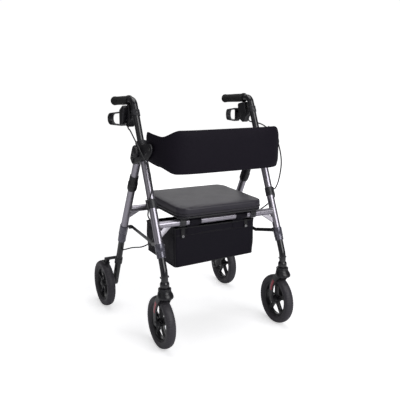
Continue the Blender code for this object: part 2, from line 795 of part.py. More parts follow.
def make_rear_collars():
    """Stepped black collars half way up the rear legs."""
    length = COLLAR_LENGTH
    bore = LEG_RADIUS + CLEARANCE
    profile = [(COLLAR_RADIUS - 0.0022, length), (COLLAR_RADIUS - 0.0013, length * 0.55),
               (COLLAR_RADIUS, length * 0.52), (COLLAR_RADIUS, length * 0.12),
               (COLLAR_RADIUS - 0.002, 0.0), (bore, 0.0), (bore, length)]
    left_and_right("rear_collar", turned(profile, rear_leg_point(COLLAR_RISE), REAR_UP), "black_plastic")


def make_rear_lower_legs():
    """Black lower tubes of the rear legs, each with the boss of its wheel axle."""
    foot = rear_foot()
    top = rear_leg_point(REAR_LEG_FOOT_RISE + PLUG_DEPTH)
    path = bent_path([top, rear_corner(), foot], 0.12, 3)
    inside = bent_path([top + REAR_UP * 0.01, rear_corner(), foot - lower_down() * 0.03], 0.12, 3)
    tube = lower_tube(path, rear_leg_point(REAR_LEG_FOOT_RISE), REAR_UP, lower_down(),
                      REAR_SLEEVE_LENGTH, REAR_SLEEVE_SKIRT, stay_points()[0], STAY_REAR_X)
    axle = Vector((FRAME_X, REAR_AXLE_Y, AXLE_Z))
    boss = cylinder(axle - LEFT * 0.0125, axle + LEFT * 0.0165, 0.0135)
    web = side_plate(hull_outline([(axle.y, axle.z, 0.012), (foot.y, foot.z, 0.0115)]),
                     FRAME_X - 0.0085, FRAME_X + 0.0085)
    tube = cut(joined(tube, web, boss), tube_bore(inside), cross_hole(axle, AXLE_RADIUS))
    left_and_right("rear_lower_leg", tube, "black_paint")


def shoe_sides():
    """Inner and outer x of the left brake shoe, over the rear tyre."""
    return REAR_WHEEL_X - SHOE_INNER, REAR_WHEEL_X + SHOE_OUTER


def make_brake_brackets():
    """Black collars low on the rear legs, each with the pivot pin of a brake shoe."""
    down = lower_down()
    pivot = shoe_pivot()
    inner, outer = shoe_sides()
    centre = rear_corner() + down * (pivot - rear_corner()).dot(down)
    half = down * BRACKET_LENGTH / 2
    ring = cylinder(centre - half, centre + half, HANDLE_RADIUS + CLEARANCE + 0.003)
    ear = side_plate(hull_outline([(pivot.y, pivot.z, SHOE_BARREL), (centre.y, centre.z, 0.010)], 12),
                     FRAME_X - 0.007, FRAME_X + 0.007)
    space = cylinder(centre - down * 0.03, centre + down * 0.03, HANDLE_RADIUS + CLEARANCE)

    def along_x(x_from, x_to, radius, sides):
        return cylinder((x_from, pivot.y, pivot.z), (x_to, pivot.y, pivot.z), radius, sides)

    boss = along_x(FRAME_X - 0.007, inner - CLEARANCE, SHOE_BARREL, 12)
    pin = along_x(FRAME_X + 0.020, outer + CLEARANCE + 0.0005, STAY_PIN_RADIUS, 12)
    head = along_x(outer + CLEARANCE, outer + CLEARANCE + 0.0016, STAY_HEAD_RADIUS, 12)
    bracket = cut(joined(ring, ear, boss), space)
    left_and_right("brake_bracket", joined(bracket, pin, head), "black_plastic")


def make_brake_shoes():
    """Pivoted shoes whose curved pads stand just above the rear tyres."""
    pivot = shoe_pivot()
    low = WHEEL_RADIUS + SHOE_GAP
    high = low + SHOE_THICKNESS
    arc = [math.radians(94 + 3.5 * i) for i in range(6)]
    outline = [(REAR_AXLE_Y + high * math.cos(a), AXLE_Z + high * math.sin(a)) for a in arc]
    outline += [(REAR_AXLE_Y + low * math.cos(a), AXLE_Z + low * math.sin(a)) for a in arc[::-1]]
    x_low, x_high = shoe_sides()
    pad = side_plate(outline, x_low, x_high)
    back = (low + high) / 2 + 0.001
    tips = [(REAR_AXLE_Y + back * math.cos(a), AXLE_Z + back * math.sin(a), 0.0025)
            for a in (arc[1], arc[4])]
    arm = side_plate(hull_outline([(pivot.y, pivot.z, SHOE_BARREL)] + tips, 12),
                     x_low + 0.004, x_high - 0.006)
    barrel = cylinder((x_low, pivot.y, pivot.z), (x_high, pivot.y, pivot.z), SHOE_BARREL, 12)
    hole = cylinder(pivot, pivot + LEFT * 0.07, STAY_PIN_RADIUS + CLEARANCE, 12)
    left_and_right("brake_shoe", cut(joined(pad, arm, barrel), hole), "black_plastic", tuple(pivot))


def make_rear_axles():
    """Rear axle bolts, from the bosses on the legs to the outer faces of the wheels."""
    start = Vector((FRAME_X - 0.0125 - CLEARANCE, REAR_AXLE_Y, AXLE_Z))
    length = REAR_WHEEL_X + RIM_HALF + CLEARANCE - start.x
    collar_start = FRAME_X + 0.0165 + CLEARANCE - start.x
    collar_end = REAR_WHEEL_X - RIM_HALF - CLEARANCE - start.x
    profile = [(0.0, length + 0.003), (0.006, length + 0.003), (0.0085, length + 0.0015),
               (0.0085, length), (AXLE_RADIUS, length), (AXLE_RADIUS, collar_end),
               (0.0085, collar_end), (0.0085, collar_start), (AXLE_RADIUS, collar_start),
               (AXLE_RADIUS, 0.0), (0.0075, 0.0), (0.0075, -0.004), (0.0, -0.005)]
    left_and_right("rear_axle", turned(profile, start, LEFT, 12, closed=False), "zinc")


# Wheels


def tyre_profile():
    """Section of a tyre, as (radius, sideways) points."""
    half = TYRE_WIDTH / 2
    side = [(RIM_RADIUS + CLEARANCE, 0.60), (RIM_RADIUS + 0.25 * TYRE_HEIGHT, 0.95),
            (RIM_RADIUS + 0.62 * TYRE_HEIGHT, 1.0), (WHEEL_RADIUS - 0.0022, 0.66),
            (WHEEL_RADIUS, 0.22)]
    right = [(radius, half * share) for radius, share in side]
    left = [(radius, -offset) for radius, offset in right[::-1]]
    return right + left


def make_wheel(name, centre, hub_half):
    """Tyre and spoked rim of the left and right wheels at the front or at the back."""
    left_and_right(name + "_tyre", turned(tyre_profile(), centre, LEFT, WHEEL_SIDES), "tyre",
                   tuple(centre))
    inner = RIM_RADIUS - RIM_WALL
    ring = turned([(RIM_RADIUS, 0.0105), (RIM_RADIUS, -0.0105), (inner, -0.0095), (inner, 0.0095)],
                  centre, LEFT, WHEEL_SIDES)
    hub = cylinder(centre - LEFT * hub_half, centre + LEFT * hub_half, WHEEL_HUB_RADIUS, 16)
    reach = inner + 0.003
    start = WHEEL_HUB_RADIUS - 0.005
    bm = bmesh.new()
    for i in range(SPOKES):
        turn = Matrix.Rotation(2 * math.pi * i / SPOKES + math.pi / 2, 4, "X")
        place = Matrix.Translation((0, (reach + start) / 2, 0))
        size = Matrix.Diagonal((SPOKE_WIDTH, reach - start, 0.0125, 1.0))
        bmesh.ops.create_cube(bm, size=1.0, matrix=Matrix.Translation(centre) @ turn @ place @ size)
    rim = cut(joined(ring, from_bmesh("spokes", bm), hub), cross_hole(centre, AXLE_RADIUS, 16))
    left_and_right(name + "_rim", rim, "black_plastic", tuple(centre))


# Casters


def fork_arm_x():
    """Inner and outer x distances of a fork arm from the wheel's middle."""
    inner = TYRE_WIDTH / 2 + ARM_GAP
    return inner, inner + ARM_THICKNESS


def make_caster_forks():
    """Caster forks: a stem, a domed crown and two arms that bow back to the axle."""
    rings = [(FRAME_X, STEM_Y, CROWN_Z + CROWN_HEIGHT, CROWN_TOP_RADIUS - 0.001),
             (FRAME_X, STEM_Y, CROWN_Z + CROWN_HEIGHT - 0.008, CROWN_TOP_RADIUS),
             (FRAME_X, STEM_Y - CROWN_SHIFT * 0.7, CROWN_Z + 0.016, CROWN_RADIUS - 0.0025),
             (FRAME_X, STEM_Y - CROWN_SHIFT, CROWN_Z + 0.006, CROWN_RADIUS),
             (FRAME_X, STEM_Y - CROWN_SHIFT, CROWN_Z, CROWN_RADIUS - 0.0015)]
    crown = hulled(rings)
    stem = cylinder((FRAME_X, STEM_Y, CROWN_Z + 0.01),
                    (FRAME_X, STEM_Y, FRAME_Z + STEM_LENGTH - CLEARANCE), STEM_RADIUS, 16)
    inner, outer = fork_arm_x()
    top = Vector((STEM_Y - CROWN_SHIFT, CROWN_Z + 0.008))
    axle = Vector((FRONT_AXLE_Y, AXLE_Z))
    bow = Vector((FRONT_AXLE_Y + 0.022, AXLE_Z + 0.058))
    centres = []
    widths = []
    for i in range(7):
        t = i / 6
        centres.append(top * (1 - t) ** 2 + bow * 2 * t * (1 - t) + axle * t * t)
        widths.append(0.026 * (1 - t) + 0.023 * t)
    outline = strip_outline(centres, widths)
    arms = [side_plate(outline, FRAME_X + low, FRAME_X + high)
            for low, high in ((inner, outer), (-outer, -inner))]
    axle_hole = cross_hole(Vector((FRAME_X, FRONT_AXLE_Y, AXLE_Z)), AXLE_RADIUS)
    left_and_right("caster_fork", cut(joined(crown, stem, *arms), axle_hole), "black_plastic",
                   (FRAME_X, STEM_Y, CROWN_Z))


def make_caster_axles():
    """Axle bolts of the caster wheels."""
    reach = LEFT * (fork_arm_x()[1] + CLEARANCE)
    axle = Vector((FRAME_X, FRONT_AXLE_Y, AXLE_Z))
    left_and_right("caster_axle", bolt(axle - reach, axle + reach, AXLE_RADIUS, 0.0085, 0.003, 12), "zinc")


# Handles and brakes


def make_handles():
    """Bent handle tubes that slide in the front legs, with closed rubber grips."""
    foot = leg_point(HANDLE_FOOT_RISE)
    corner = lines_cross(foot, LEG_UP, grip_end(), GRIP_BACK)
    tube_end = grip_end() - GRIP_BACK * (GRIP_CAP + CLEARANCE)
    tube = rod(bent_path([foot, corner, tube_end], HANDLE_BEND, 7), HANDLE_RADIUS)
    inside = bent_path([foot - LEG_UP * 0.01, corner, tube_end + GRIP_BACK * 0.01], HANDLE_BEND, 7)
    left_and_right("handle_tube", cut(tube, tube_bore(inside)), "black_paint")

    length = GRIP_LENGTH
    bore = HANDLE_RADIUS + CLEARANCE
    profile = [(0.0, length), (GRIP_RADIUS - 0.003, length), (GRIP_RADIUS + 0.0012, length - 0.003),
               (GRIP_RADIUS + 0.0012, length - 0.008), (GRIP_RADIUS, length - 0.011),
               (GRIP_RADIUS, 0.010), (GRIP_RADIUS + 0.0025, 0.006), (GRIP_RADIUS + 0.0015, 0.0),
               (bore, 0.0), (bore, length - GRIP_CAP), (0.0, length - GRIP_CAP)]
    grip = turned(profile, grip_end() - GRIP_BACK * length, GRIP_BACK, closed=False)
    left_and_right("grip", grip, "grip_rubber")


def adjuster_points():
    """Ends of the left brake's cable adjuster, on the outer side of the housing."""
    pivot = lever_pivot()
    return (pivot + Vector((ADJUSTER_OFFSET, 0.012, -0.007)),
            pivot + Vector((ADJUSTER_OFFSET, -0.010, -0.0165)))


def make_housings():
    """Brake housings: a clamp round the handle tube, cheeks for the lever, and an outer case."""
    pivot = lever_pivot()
    clamp = leg_point(HOUSING_RISE)
    circles = [(pivot.y + 0.020, pivot.z + 0.037, 0.009), (pivot.y - 0.018, pivot.z + 0.039, 0.009),
               (pivot.y - 0.030, pivot.z - 0.015, 0.009), (pivot.y - 0.010, pivot.z - 0.019, 0.008),
               (pivot.y + 0.006, pivot.z - 0.009, 0.008)]
    body = side_plate(hull_outline(circles, 12), FRAME_X - HOUSING_HALF, FRAME_X + HOUSING_HALF)
    ring = cylinder(clamp - LEG_UP * 0.014, clamp + LEG_UP * 0.014, HOUSING_RING)
    arm = side_plate(hull_outline([(clamp.y, clamp.z, 0.011), (pivot.y - 0.020, pivot.z + 0.006, 0.013)],
                                  12), FRAME_X - 0.0095, FRAME_X + 0.0095)
    case = side_plate(hull_outline([(pivot.y + 0.022, pivot.z + 0.033, 0.009),
                                    (pivot.y - 0.004, pivot.z + 0.035, 0.009),
                                    (pivot.y + 0.021, pivot.z - 0.013, 0.008),
                                    (pivot.y + 0.007, pivot.z - 0.011, 0.007)], 12),
                      FRAME_X + HOUSING_HALF - 0.001, FRAME_X + HOUSING_HALF + CASE_DEPTH)
    start, end = adjuster_points()
    along = end - start
    boss = cylinder(start + along * 0.25, start + along * 0.75, ADJUSTER_RADIUS + 0.002, 12)
    adjuster = cylinder(start - along * 0.1, end, ADJUSTER_RADIUS, 10)
    forward = LEFT.cross(LEG_UP)
    screws = []
    for shift in (-0.0065, 0.0065):
        head = clamp + LEG_UP * shift + forward * (HOUSING_RING - 0.001)
        screws.append(cylinder(head, head + forward * 0.0035, 0.0033, 8))
    space = cylinder(clamp - LEG_UP * 0.03, clamp + LEG_UP * 0.03, HANDLE_RADIUS + CLEARANCE)
    slot = box((FRAME_X - NECK_HALF - CHEEK_GAP, pivot.y - 0.010, pivot.z - 0.05),
               (FRAME_X + NECK_HALF + CHEEK_GAP, pivot.y + 0.06, pivot.z + 0.0265))
    reach = LEFT * (HOUSING_HALF - 0.0005)
    pin = bolt(pivot - reach, pivot + reach, STAY_PIN_RADIUS, 0.005, 0.0022)
    housing = cut(joined(body, arm, ring, case, boss, adjuster, *screws), space, slot)
    left_and_right("brake_housing", joined(housing, pin), "black_plastic")


def lever_loop(inset):
    """Outline of the looped brake lever, seen from the side, moved inwards by an inset."""
    pivot = lever_pivot()
    corner = 0.012 - inset * 0.6
    round_end = 0.021
    front_y = pivot.y + LEVER_FRONT + inset + corner
    back_y = pivot.y + LEVER_BACK - round_end
    circles = [(front_y, pivot.z + 0.0275 - inset - corner, corner),
               (front_y, pivot.z - 0.0265 + inset + corner, corner),
               (back_y, pivot.z - 0.0275 + round_end, round_end - inset),
               (back_y, pivot.z + 0.0185 - round_end, round_end - inset)]
    return hull_outline(circles, 16)


def make_levers():
    """Brake levers: a wide strap bent to a loop, which flares out from the housing."""
    pivot = lever_pivot()
    half = STRAP_WIDTH / 2
    loop = side_plate(lever_loop(0.0), FRAME_X - half, FRAME_X + half)
    hole = side_plate(lever_loop(STRAP_THICKNESS), FRAME_X - 2 * half, FRAME_X + 2 * half)
    neck_end = pivot.y + LEVER_FRONT + 0.0015
    neck_outline = hull_outline([(pivot.y, pivot.z, 0.0085), (neck_end, pivot.z + 0.008, 0.0012),
                                 (neck_end, pivot.z - 0.012, 0.0012)], 12)
    neck = side_plate(neck_outline, FRAME_X - NECK_HALF, FRAME_X + NECK_HALF)
    pin_hole = cross_hole(pivot, STAY_PIN_RADIUS)
    mesh = evaluated_mesh(cut(joined(cut(loop, hole), neck), pin_hole))
    flare_start = neck_end + 0.003
    for vertex in mesh.vertices:
        share = max(0.0, (vertex.co.y - flare_start) / (LEVER_BACK - LEVER_FRONT))
        vertex.co.x += LEVER_FLARE * min(1.0, share) ** 1.3
    left_and_right("brake_lever", tool_object("lever", mesh), "black_plastic", tuple(pivot))


# Seat


def seat_turn():
    """Small tilt of the seat, so that it lies on both cross tubes."""
    tilt = math.atan2(REAR_TUBE_Z - FRONT_TUBE_Z, REAR_TUBE_Y - FRONT_TUBE_Y)
    return Matrix.Translation((0, FRONT_TUBE_Y, FRONT_TUBE_Z)) @ Matrix.Rotation(tilt, 4, "X")


def seat_part(name, obj, finish):
    """Tilt a seat piece that was built round the seat's hinge, and name it."""
    obj.data.transform(seat_turn())
    return part(name, obj, finish, (0, FRONT_TUBE_Y, FRONT_TUBE_Z))


def seat_outline(inset):
    """Outline of the seat, smaller by an inset."""
    return rounded_rectangle(SEAT_HALF_WIDTH - inset, inset - SEAT_FRONT,
                             SEAT_SPAN + SEAT_REAR - inset, SEAT_CORNER - inset)


def make_seat():
    """Seat board, with its hinge clamps and rear saddles moulded on, and the seat pad."""
    board = level_plate(seat_outline(BOARD_INSET), SEAT_LIFT, SEAT_LIFT + BOARD_THICKNESS)
    top = SEAT_LIFT + 0.002
    bore = TUBE_RADIUS + CLEARANCE
    half = CLAMP_WIDTH / 2
    mounts = []
    for side in (-1, 1):
        x = side * CLAMP_X
        mounts.append(cylinder((x - half, 0, 0), (x + half, 0, 0), bore + CLAMP_WALL))
        mounts.append(box((x - half + 0.0005, -0.014, 0.004), (x + half - 0.0005, 0.016, top)))
        x = side * SADDLE_X
        mounts.append(box((x - half, SEAT_SPAN - 0.0050, -0.003), (x + half, SEAT_SPAN + 0.0165, top)))
    front_space = cylinder((-FRAME_X, 0, 0), (FRAME_X, 0, 0), bore)
    rear_space = cylinder((-FRAME_X, SEAT_SPAN, 0), (FRAME_X, SEAT_SPAN, 0), bore)
    board = applied(cut(joined(board, *mounts), front_space, rear_space))
    seat_part("seat_board", board, "black_plastic")

    base = SEAT_LIFT + BOARD_THICKNESS + CLEARANCE
    pad = seat_part("seat_pad", level_plate(seat_outline(0.0), base, base + PAD_THICKNESS), "leatherette")
    rounding = pad.modifiers.new("rounding", "BEVEL")
    rounding.width = 0.009
    rounding.segments = 2
    rounding.limit_method = "ANGLE"
    rounding.angle_limit = math.radians(60)


# Back band


def band_station(turn):
    """Middle of the back band in plan, at a turn from the left end (0) to the right end (180)."""
    angle = math.radians(turn - 90)
    sine, cosine = math.sin(angle), math.cos(angle)
    x = -BAND_HALF_WIDTH * math.copysign(abs(sine) ** 0.274, sine)
    return Vector((x, BAND_Y - BAND_REACH * abs(cosine) ** 1.142, 0))


def band_heights(share):
    """Bottom and top of the back band, at a share of the way from its middle to its end."""
    fall, rise = (min(1.0, max(0.0, (share - start) / 0.20)) for start in (0.54, 0.58))
    top = BAND_HEIGHT / 2 - 0.0225 * fall * fall * (3 - 2 * fall) + max(0.0, share - 0.75) * 0.05
    bottom = -BAND_HEIGHT / 2 + 0.022 * rise * rise * (3 - 2 * rise) + max(0.0, share - 0.79) * 0.07
    middle = FRAME_Z + BAND_MIDDLE_RISE
    return middle + bottom, middle + top


def make_backrest():
    """Padded back band: a rounded section carried round the front of the walker."""
    turns = [0, 0.02, 0.12, 0.45, 1.3, 3, 6, 11, 18, 27, 38, 50, 63, 76, 90]
    turns += [180 - turn for turn in turns[-2::-1]]
    centres = [band_station(turn) for turn in turns]
    gone = [0.0]
    for before, after in zip(centres, centres[1:]):
        gone.append(gone[-1] + (after - before).length)
    half = gone[-1] / 2
    section = [(-1, 0.10), (-0.55, 0.01), (0.55, 0.01), (1, 0.10), (1, 0.90), (0.55, 0.99),
               (-0.55, 0.99), (-1, 0.90)]
    bm = bmesh.new()
    rings = []
    for i, centre in enumerate(centres):
        along = (centres[min(i + 1, len(centres) - 1)] - centres[max(i - 1, 0)]).normalized()
        normal = Vector((along.y, -along.x, 0))
        bottom, top = band_heights(abs(gone[i] - half) / half)
        ring = []
        for side, share in section:
            place = centre + normal * side * BAND_THICKNESS / 2
            place.z = bottom + (top - bottom) * share
            ring.append(bm.verts.new(place))
        rings.append(ring)
    for ring, following in zip(rings, rings[1:]):
        for j in range(len(ring)):
            k = (j + 1) % len(ring)
            bm.faces.new((ring[j], ring[k], following[k], following[j]))
    bm.faces.new(rings[0])
    bm.faces.new(rings[-1])
    part("backrest_pad", from_bmesh("backrest_pad", bm), "fabric")


# Bag


def bag_top(y, front):
    """Height of the bag's rim, lower behind so that the folding cross tube passes over it."""
    share = min(1.0, (y - front) / 0.115)
    return FRAME_Z + BAG_FRONT_RISE + (BAG_REAR_RISE - BAG_FRONT_RISE) * share


def bag_loops(front):
    """Fabric loops sewn to the bag's front, which hang it from the front cross tube."""
    inner = TUBE_RADIUS + CLEARANCE
    middle = Vector((0, FRONT_TUBE_Y, FRONT_TUBE_Z))
    tube_space = cylinder(middle - LEFT * FRAME_X, middle + LEFT * FRAME_X, inner)
    loops = []
    for side in (-1, 1):
        low, high = sorted((side * LOOP_X, side * (LOOP_X + LOOP_WIDTH)))
        ring = cylinder(middle + LEFT * low, middle + LEFT * high, inner + LOOP_THICKNESS)
        tail = box((low + 0.001, front - LOOP_THICKNESS, FRONT_TUBE_Z - 0.050),
                   (high - 0.001, front + BAG_WALL / 2, FRONT_TUBE_Z - 0.004))
        loops.append(cut(joined(ring, tail), tube_space))
    return loops


def make_bag():
    """Open fabric bag under the seat, with the loops that it hangs from."""
    front = FRONT_TUBE_Y + TUBE_RADIUS + 2 * CLEARANCE
    top = rounded_rectangle(BAG_HALF_WIDTH, front, front + BAG_LENGTH, BAG_CORNER, 3)
    bottom = rounded_rectangle(BAG_HALF_WIDTH - 0.003, front + 0.003, front + BAG_LENGTH - 0.004,
                               BAG_CORNER, 3)
    bm = bmesh.new()
    low = [bm.verts.new((x, y, FRAME_Z + BAG_BOTTOM_RISE + (y - front) * 0.05)) for x, y in bottom]
    high = [bm.verts.new((x, y, bag_top(y, front))) for x, y in top]
    for i in range(len(low)):
        j = (i + 1) % len(low)
        bm.faces.new((low[i], low[j], high[j], high[i]))
    bm.faces.new(low[::-1])
    mesh = bpy.data.meshes.new("bag")
    bm.to_mesh(mesh)
    bm.free()
    bag = tool_object("bag", mesh)
    wall = bag.modifiers.new("wall", "SOLIDIFY")
    wall.thickness = BAG_WALL
    wall.offset = -1.0
    part("bag", joined(bag, *bag_loops(front)), "fabric")


# Fold stays and cables


def make_stays():
    """Two-piece stays that lock the frame open and fold down between the legs."""
    rear, knuckle, front = stay_points()
    half = STAY_WIDTH / 2
    for name, lug, x_high in (("front_stay", front, STAY_FRONT_X - CLEARANCE),
                              ("rear_stay", rear, STAY_REAR_X - CLEARANCE)):
        outline = hull_outline([(lug.y, lug.z, half), (knuckle.y, knuckle.z, half)], 12)
        x_low = x_high - STAY_THICKNESS
        hole = cylinder((x_low - 0.01, lug.y, lug.z), (x_high + 0.01, lug.y, lug.z),
                        STAY_PIN_RADIUS + CLEARANCE, 12)
        link = cut(side_plate(outline, x_low, x_high), hole)
        if name == "rear_stay":
            rivet = knuckle + LEFT * (x_low + 0.001)
            link = joined(link, cylinder(rivet, rivet - LEFT * 0.0025, STAY_HEAD_RADIUS, 12))
        left_and_right(name, link, "black_paint")


def cable_entry():
    """Place on the front of the left rear lower tube where the cable goes in, and its direction."""
    forward = lower_down().cross(LEFT)
    axis = rear_leg_point(REAR_LEG_FOOT_RISE) + lower_down() * 0.066
    return axis + forward * (HANDLE_RADIUS + 2 * CLEARANCE), forward


def make_cables():
    """Brake cables, each in a stretch above its clip and a stretch below it."""
    start, end = adjuster_points()
    out = (end - start).normalized()
    clip = leg_point(CLIP_RISE) + LEFT * CABLE_OFFSET
    entry, forward = cable_entry()
    for side, sign in (("left", 1), ("right", -1)):
        flip = Vector((sign, 1, 1))
        upper = [end + out * CLEARANCE, end + out * 0.016]
        upper += [Vector(point) for point in UPPER_ROUTES[side]]
        upper += [clip + LEG_UP * 0.022, clip + LEG_UP * CLEARANCE]
        lower = [clip, clip - LEG_UP * 0.022]
        lower += [Vector(point) for point in LOWER_ROUTES[side]]
        lower += [entry + forward * 0.012, entry]
        for name, route in (("upper_cable_", upper), ("lower_cable_", lower)):
            path = [point * flip for point in smooth_path(route, 0.0155)]
            part(name + side, rod(path, CABLE_RADIUS, 8), "cable")


clear_scene()
WALKER = new_collection("four_wheel_walker")
CUTTERS = new_collection("cutters")

make_front_legs()
make_front_lower_legs()
make_buttons()
make_hubs()
make_hinge_bolts()
make_knobs()
make_cable_clips()
make_rear_legs()
make_rear_collars()
make_rear_lower_legs()
make_brake_brackets()
make_brake_shoes()
make_rear_axles()
make_wheel("front", Vector((FRAME_X, FRONT_AXLE_Y, AXLE_Z)), fork_arm_x()[0] - CLEARANCE)
make_wheel("rear", Vector((REAR_WHEEL_X, REAR_AXLE_Y, AXLE_Z)), RIM_HALF)
make_caster_forks()
make_caster_axles()
make_handles()
make_housings()
make_levers()
make_seat()
make_backrest()
make_bag()
make_stays()
make_cables()
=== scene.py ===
"""Dress of the four-wheel walker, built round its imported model.

Metres, +Z up. The walking direction is -Y and the user stands on the +Y side, so left is +X. Each
sub-assembly is a class that models its left pieces and mirrors them. A height named rise is
counted from the frame's foot, just above the caster crowns.
"""
from __future__ import annotations

import json
import logging
import math
from dataclasses import dataclass
from enum import Enum

import bmesh
import bpy
from mathutils import Matrix, Vector
from mathutils.geometry import convex_hull_2d

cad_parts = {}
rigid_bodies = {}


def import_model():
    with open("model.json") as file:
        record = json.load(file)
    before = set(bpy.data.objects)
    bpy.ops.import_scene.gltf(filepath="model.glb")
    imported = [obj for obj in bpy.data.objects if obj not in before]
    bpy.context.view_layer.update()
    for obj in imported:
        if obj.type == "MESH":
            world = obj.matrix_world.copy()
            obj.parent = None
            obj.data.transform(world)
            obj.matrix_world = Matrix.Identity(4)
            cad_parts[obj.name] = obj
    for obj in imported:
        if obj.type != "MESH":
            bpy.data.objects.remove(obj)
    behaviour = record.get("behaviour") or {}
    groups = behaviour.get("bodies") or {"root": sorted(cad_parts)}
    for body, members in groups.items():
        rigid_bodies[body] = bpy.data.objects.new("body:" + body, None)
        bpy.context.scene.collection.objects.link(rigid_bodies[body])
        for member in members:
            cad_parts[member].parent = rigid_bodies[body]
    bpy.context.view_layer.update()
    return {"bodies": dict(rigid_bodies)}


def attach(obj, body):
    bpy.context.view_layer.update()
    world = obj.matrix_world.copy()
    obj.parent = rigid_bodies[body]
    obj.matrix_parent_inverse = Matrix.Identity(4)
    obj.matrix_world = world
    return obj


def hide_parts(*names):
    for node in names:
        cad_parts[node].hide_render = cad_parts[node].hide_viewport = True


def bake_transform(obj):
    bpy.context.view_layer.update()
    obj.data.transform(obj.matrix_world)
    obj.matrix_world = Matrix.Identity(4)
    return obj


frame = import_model()

LOG = logging.getLogger("walker")

LEFT = Vector((1, 0, 0))
BACK = Vector((0, 1, 0))
UP = Vector((0, 0, 1))

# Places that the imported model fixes
FRAME_X = 0.246
FRAME_Z = 0.2321
AXLE_Z = 0.095
CROWN_Z = 0.197
STEM_Y = -0.2745
FRONT_AXLE_Y = -0.2425
REAR_AXLE_Y = 0.2425
REAR_WHEEL_X = 0.287
FRONT_TUBE = Vector((0, -0.2064, 0.4376))
REAR_TUBE = Vector((0, 0.0606, 0.4426))
LEG_LEAN = math.radians(23.35)
REAR_LEAN = math.radians(28.8)
LEG_UP = Vector((0, math.sin(LEG_LEAN), math.cos(LEG_LEAN)))
REAR_UP = Vector((0, -math.sin(REAR_LEAN), math.cos(REAR_LEAN)))
SEAT_TILT = math.atan2(REAR_TUBE.z - FRONT_TUBE.z, REAR_TUBE.y - FRONT_TUBE.y)
LEG_RADIUS = 0.014
LOWER_RADIUS = 0.0124
TUBE_RADIUS = 0.0125
AXLE_BORE = 0.0053
BOSS_INNER = 0.0125
BOSS_OUTER = 0.0165
RIVET_RADIUS = 0.0048
GAP = 0.0003


def leg_point(rise: float) -> Vector:
    """Point on the axis of the left front leg.

    Args:
        rise: Height above the frame's foot.

    Returns:
        The point, in metres.
    """
    return FRONT_TUBE + Vector((FRAME_X, 0, 0)) + LEG_UP * ((FRAME_Z + rise - FRONT_TUBE.z) / LEG_UP.z)


def rear_leg_point(rise: float) -> Vector:
    """Point on the axis of the left rear leg.

    Args:
        rise: Height above the frame's foot.

    Returns:
        The point, in metres.
    """
    return REAR_TUBE + Vector((FRAME_X, 0, 0)) + REAR_UP * ((FRAME_Z + rise - REAR_TUBE.z) / REAR_UP.z)


PIVOT = rear_leg_point(0.424)
KNOB = leg_point(0.451)
REAR_FOOT = Vector((FRAME_X, REAR_AXLE_Y - 0.016, AXLE_Z + 0.006))
REAR_CORNER = rear_leg_point(0.103)
LOWER_DOWN = (REAR_FOOT - REAR_CORNER).normalized()
GRIP_BACK = Vector((0, math.cos(math.radians(3.2)), -math.sin(math.radians(3.2))))
GRIP_END = Vector((FRAME_X, 0.1735, 0.8496))
LEVER_PIVOT = Vector((FRAME_X, 0.020, 0.7871))
SHOE_PIVOT = Vector((FRAME_X, 0.196, 0.2135))
ADJUSTER_TOP = LEVER_PIVOT + Vector((0.0167, 0.012, -0.007))
ADJUSTER_END = LEVER_PIVOT + Vector((0.0167, -0.010, -0.0165))
STAY_FRONT = (-0.228, 0.3701)
STAY_KNUCKLE = (-0.125, 0.3481)
STAY_REAR = (0.085, 0.3651)


class Side(Enum):
    """A side of the walker, with the sign of its x."""

    LEFT = 1
    RIGHT = -1

    @property
    def label(self) -> str:
        """The side's word in the names of nodes and bodies."""
        return self.name.lower()


# Shared effects, as shader node groups


class Texture(Enum):
    """Surface patterns that the finishes choose from."""

    GRAIN = "fine_grain"
    STREAK = "drawn_streaks"
    PEBBLE = "pebbled_skin"
    WEAVE = "plain_weave"


class Effect(Enum):
    """Signs of use that lie over a finish."""

    WEAR = "edge_wear"
    DUST = "settled_dust"


class Nodes:
    """A node tree with short calls to add and link nodes."""

    def __init__(self, tree: bpy.types.NodeTree) -> None:
        """Start from an existing tree.

        Args:
            tree: The tree that the calls add to.
        """
        self.tree = tree

    def add(self, kind: str, values: dict | None = None, **settings: object) -> bpy.types.Node:
        """Add a node.

        Args:
            kind: Blender's name of the node type.
            values: Socket values, by the input's name or number.
            settings: Attributes of the node itself.

        Returns:
            The new node.
        """
        node = self.tree.nodes.new(kind)
        for key, value in settings.items():
            setattr(node, key, value)
        for key, value in (values or {}).items():
            node.inputs[key].default_value = value
        return node

    def link(self, source: bpy.types.NodeSocket, target: bpy.types.NodeSocket) -> None:
        """Link two sockets."""
        self.tree.links.new(source, target)

    def feed(self, value: object, target: bpy.types.NodeSocket) -> None:
        """Link a socket to an input, or set the input to a plain value."""
        if isinstance(value, bpy.types.NodeSocket):
            self.link(value, target)
        else:
            target.default_value = value

    def maths(self, operation: str, first: object, second: object = 0.0) -> bpy.types.NodeSocket:
        """Add a Math node.

        Args:
            operation: The operation's name.
            first: A socket or a number.
            second: A socket or a number.

        Returns:
            The result's socket.
        """
        node = self.add("ShaderNodeMath", operation=operation)
        self.feed(first, node.inputs[0])
        self.feed(second, node.inputs[1])
        return node.outputs[0]

    def noise(self, vector: bpy.types.NodeSocket, scale: object, detail: float = 2.0) -> bpy.types.NodeSocket:
        """Add a noise texture.

        Args:
            vector: The coordinates' socket.
            scale: A socket or a number.
            detail: The number of octaves.

        Returns:
            The noise's value socket.
        """
        node = self.add("ShaderNodeTexNoise", {"Detail": detail, "Roughness": 0.55})
        self.link(vector, node.inputs["Vector"])
        self.feed(scale, node.inputs["Scale"])
        return node.outputs[0]


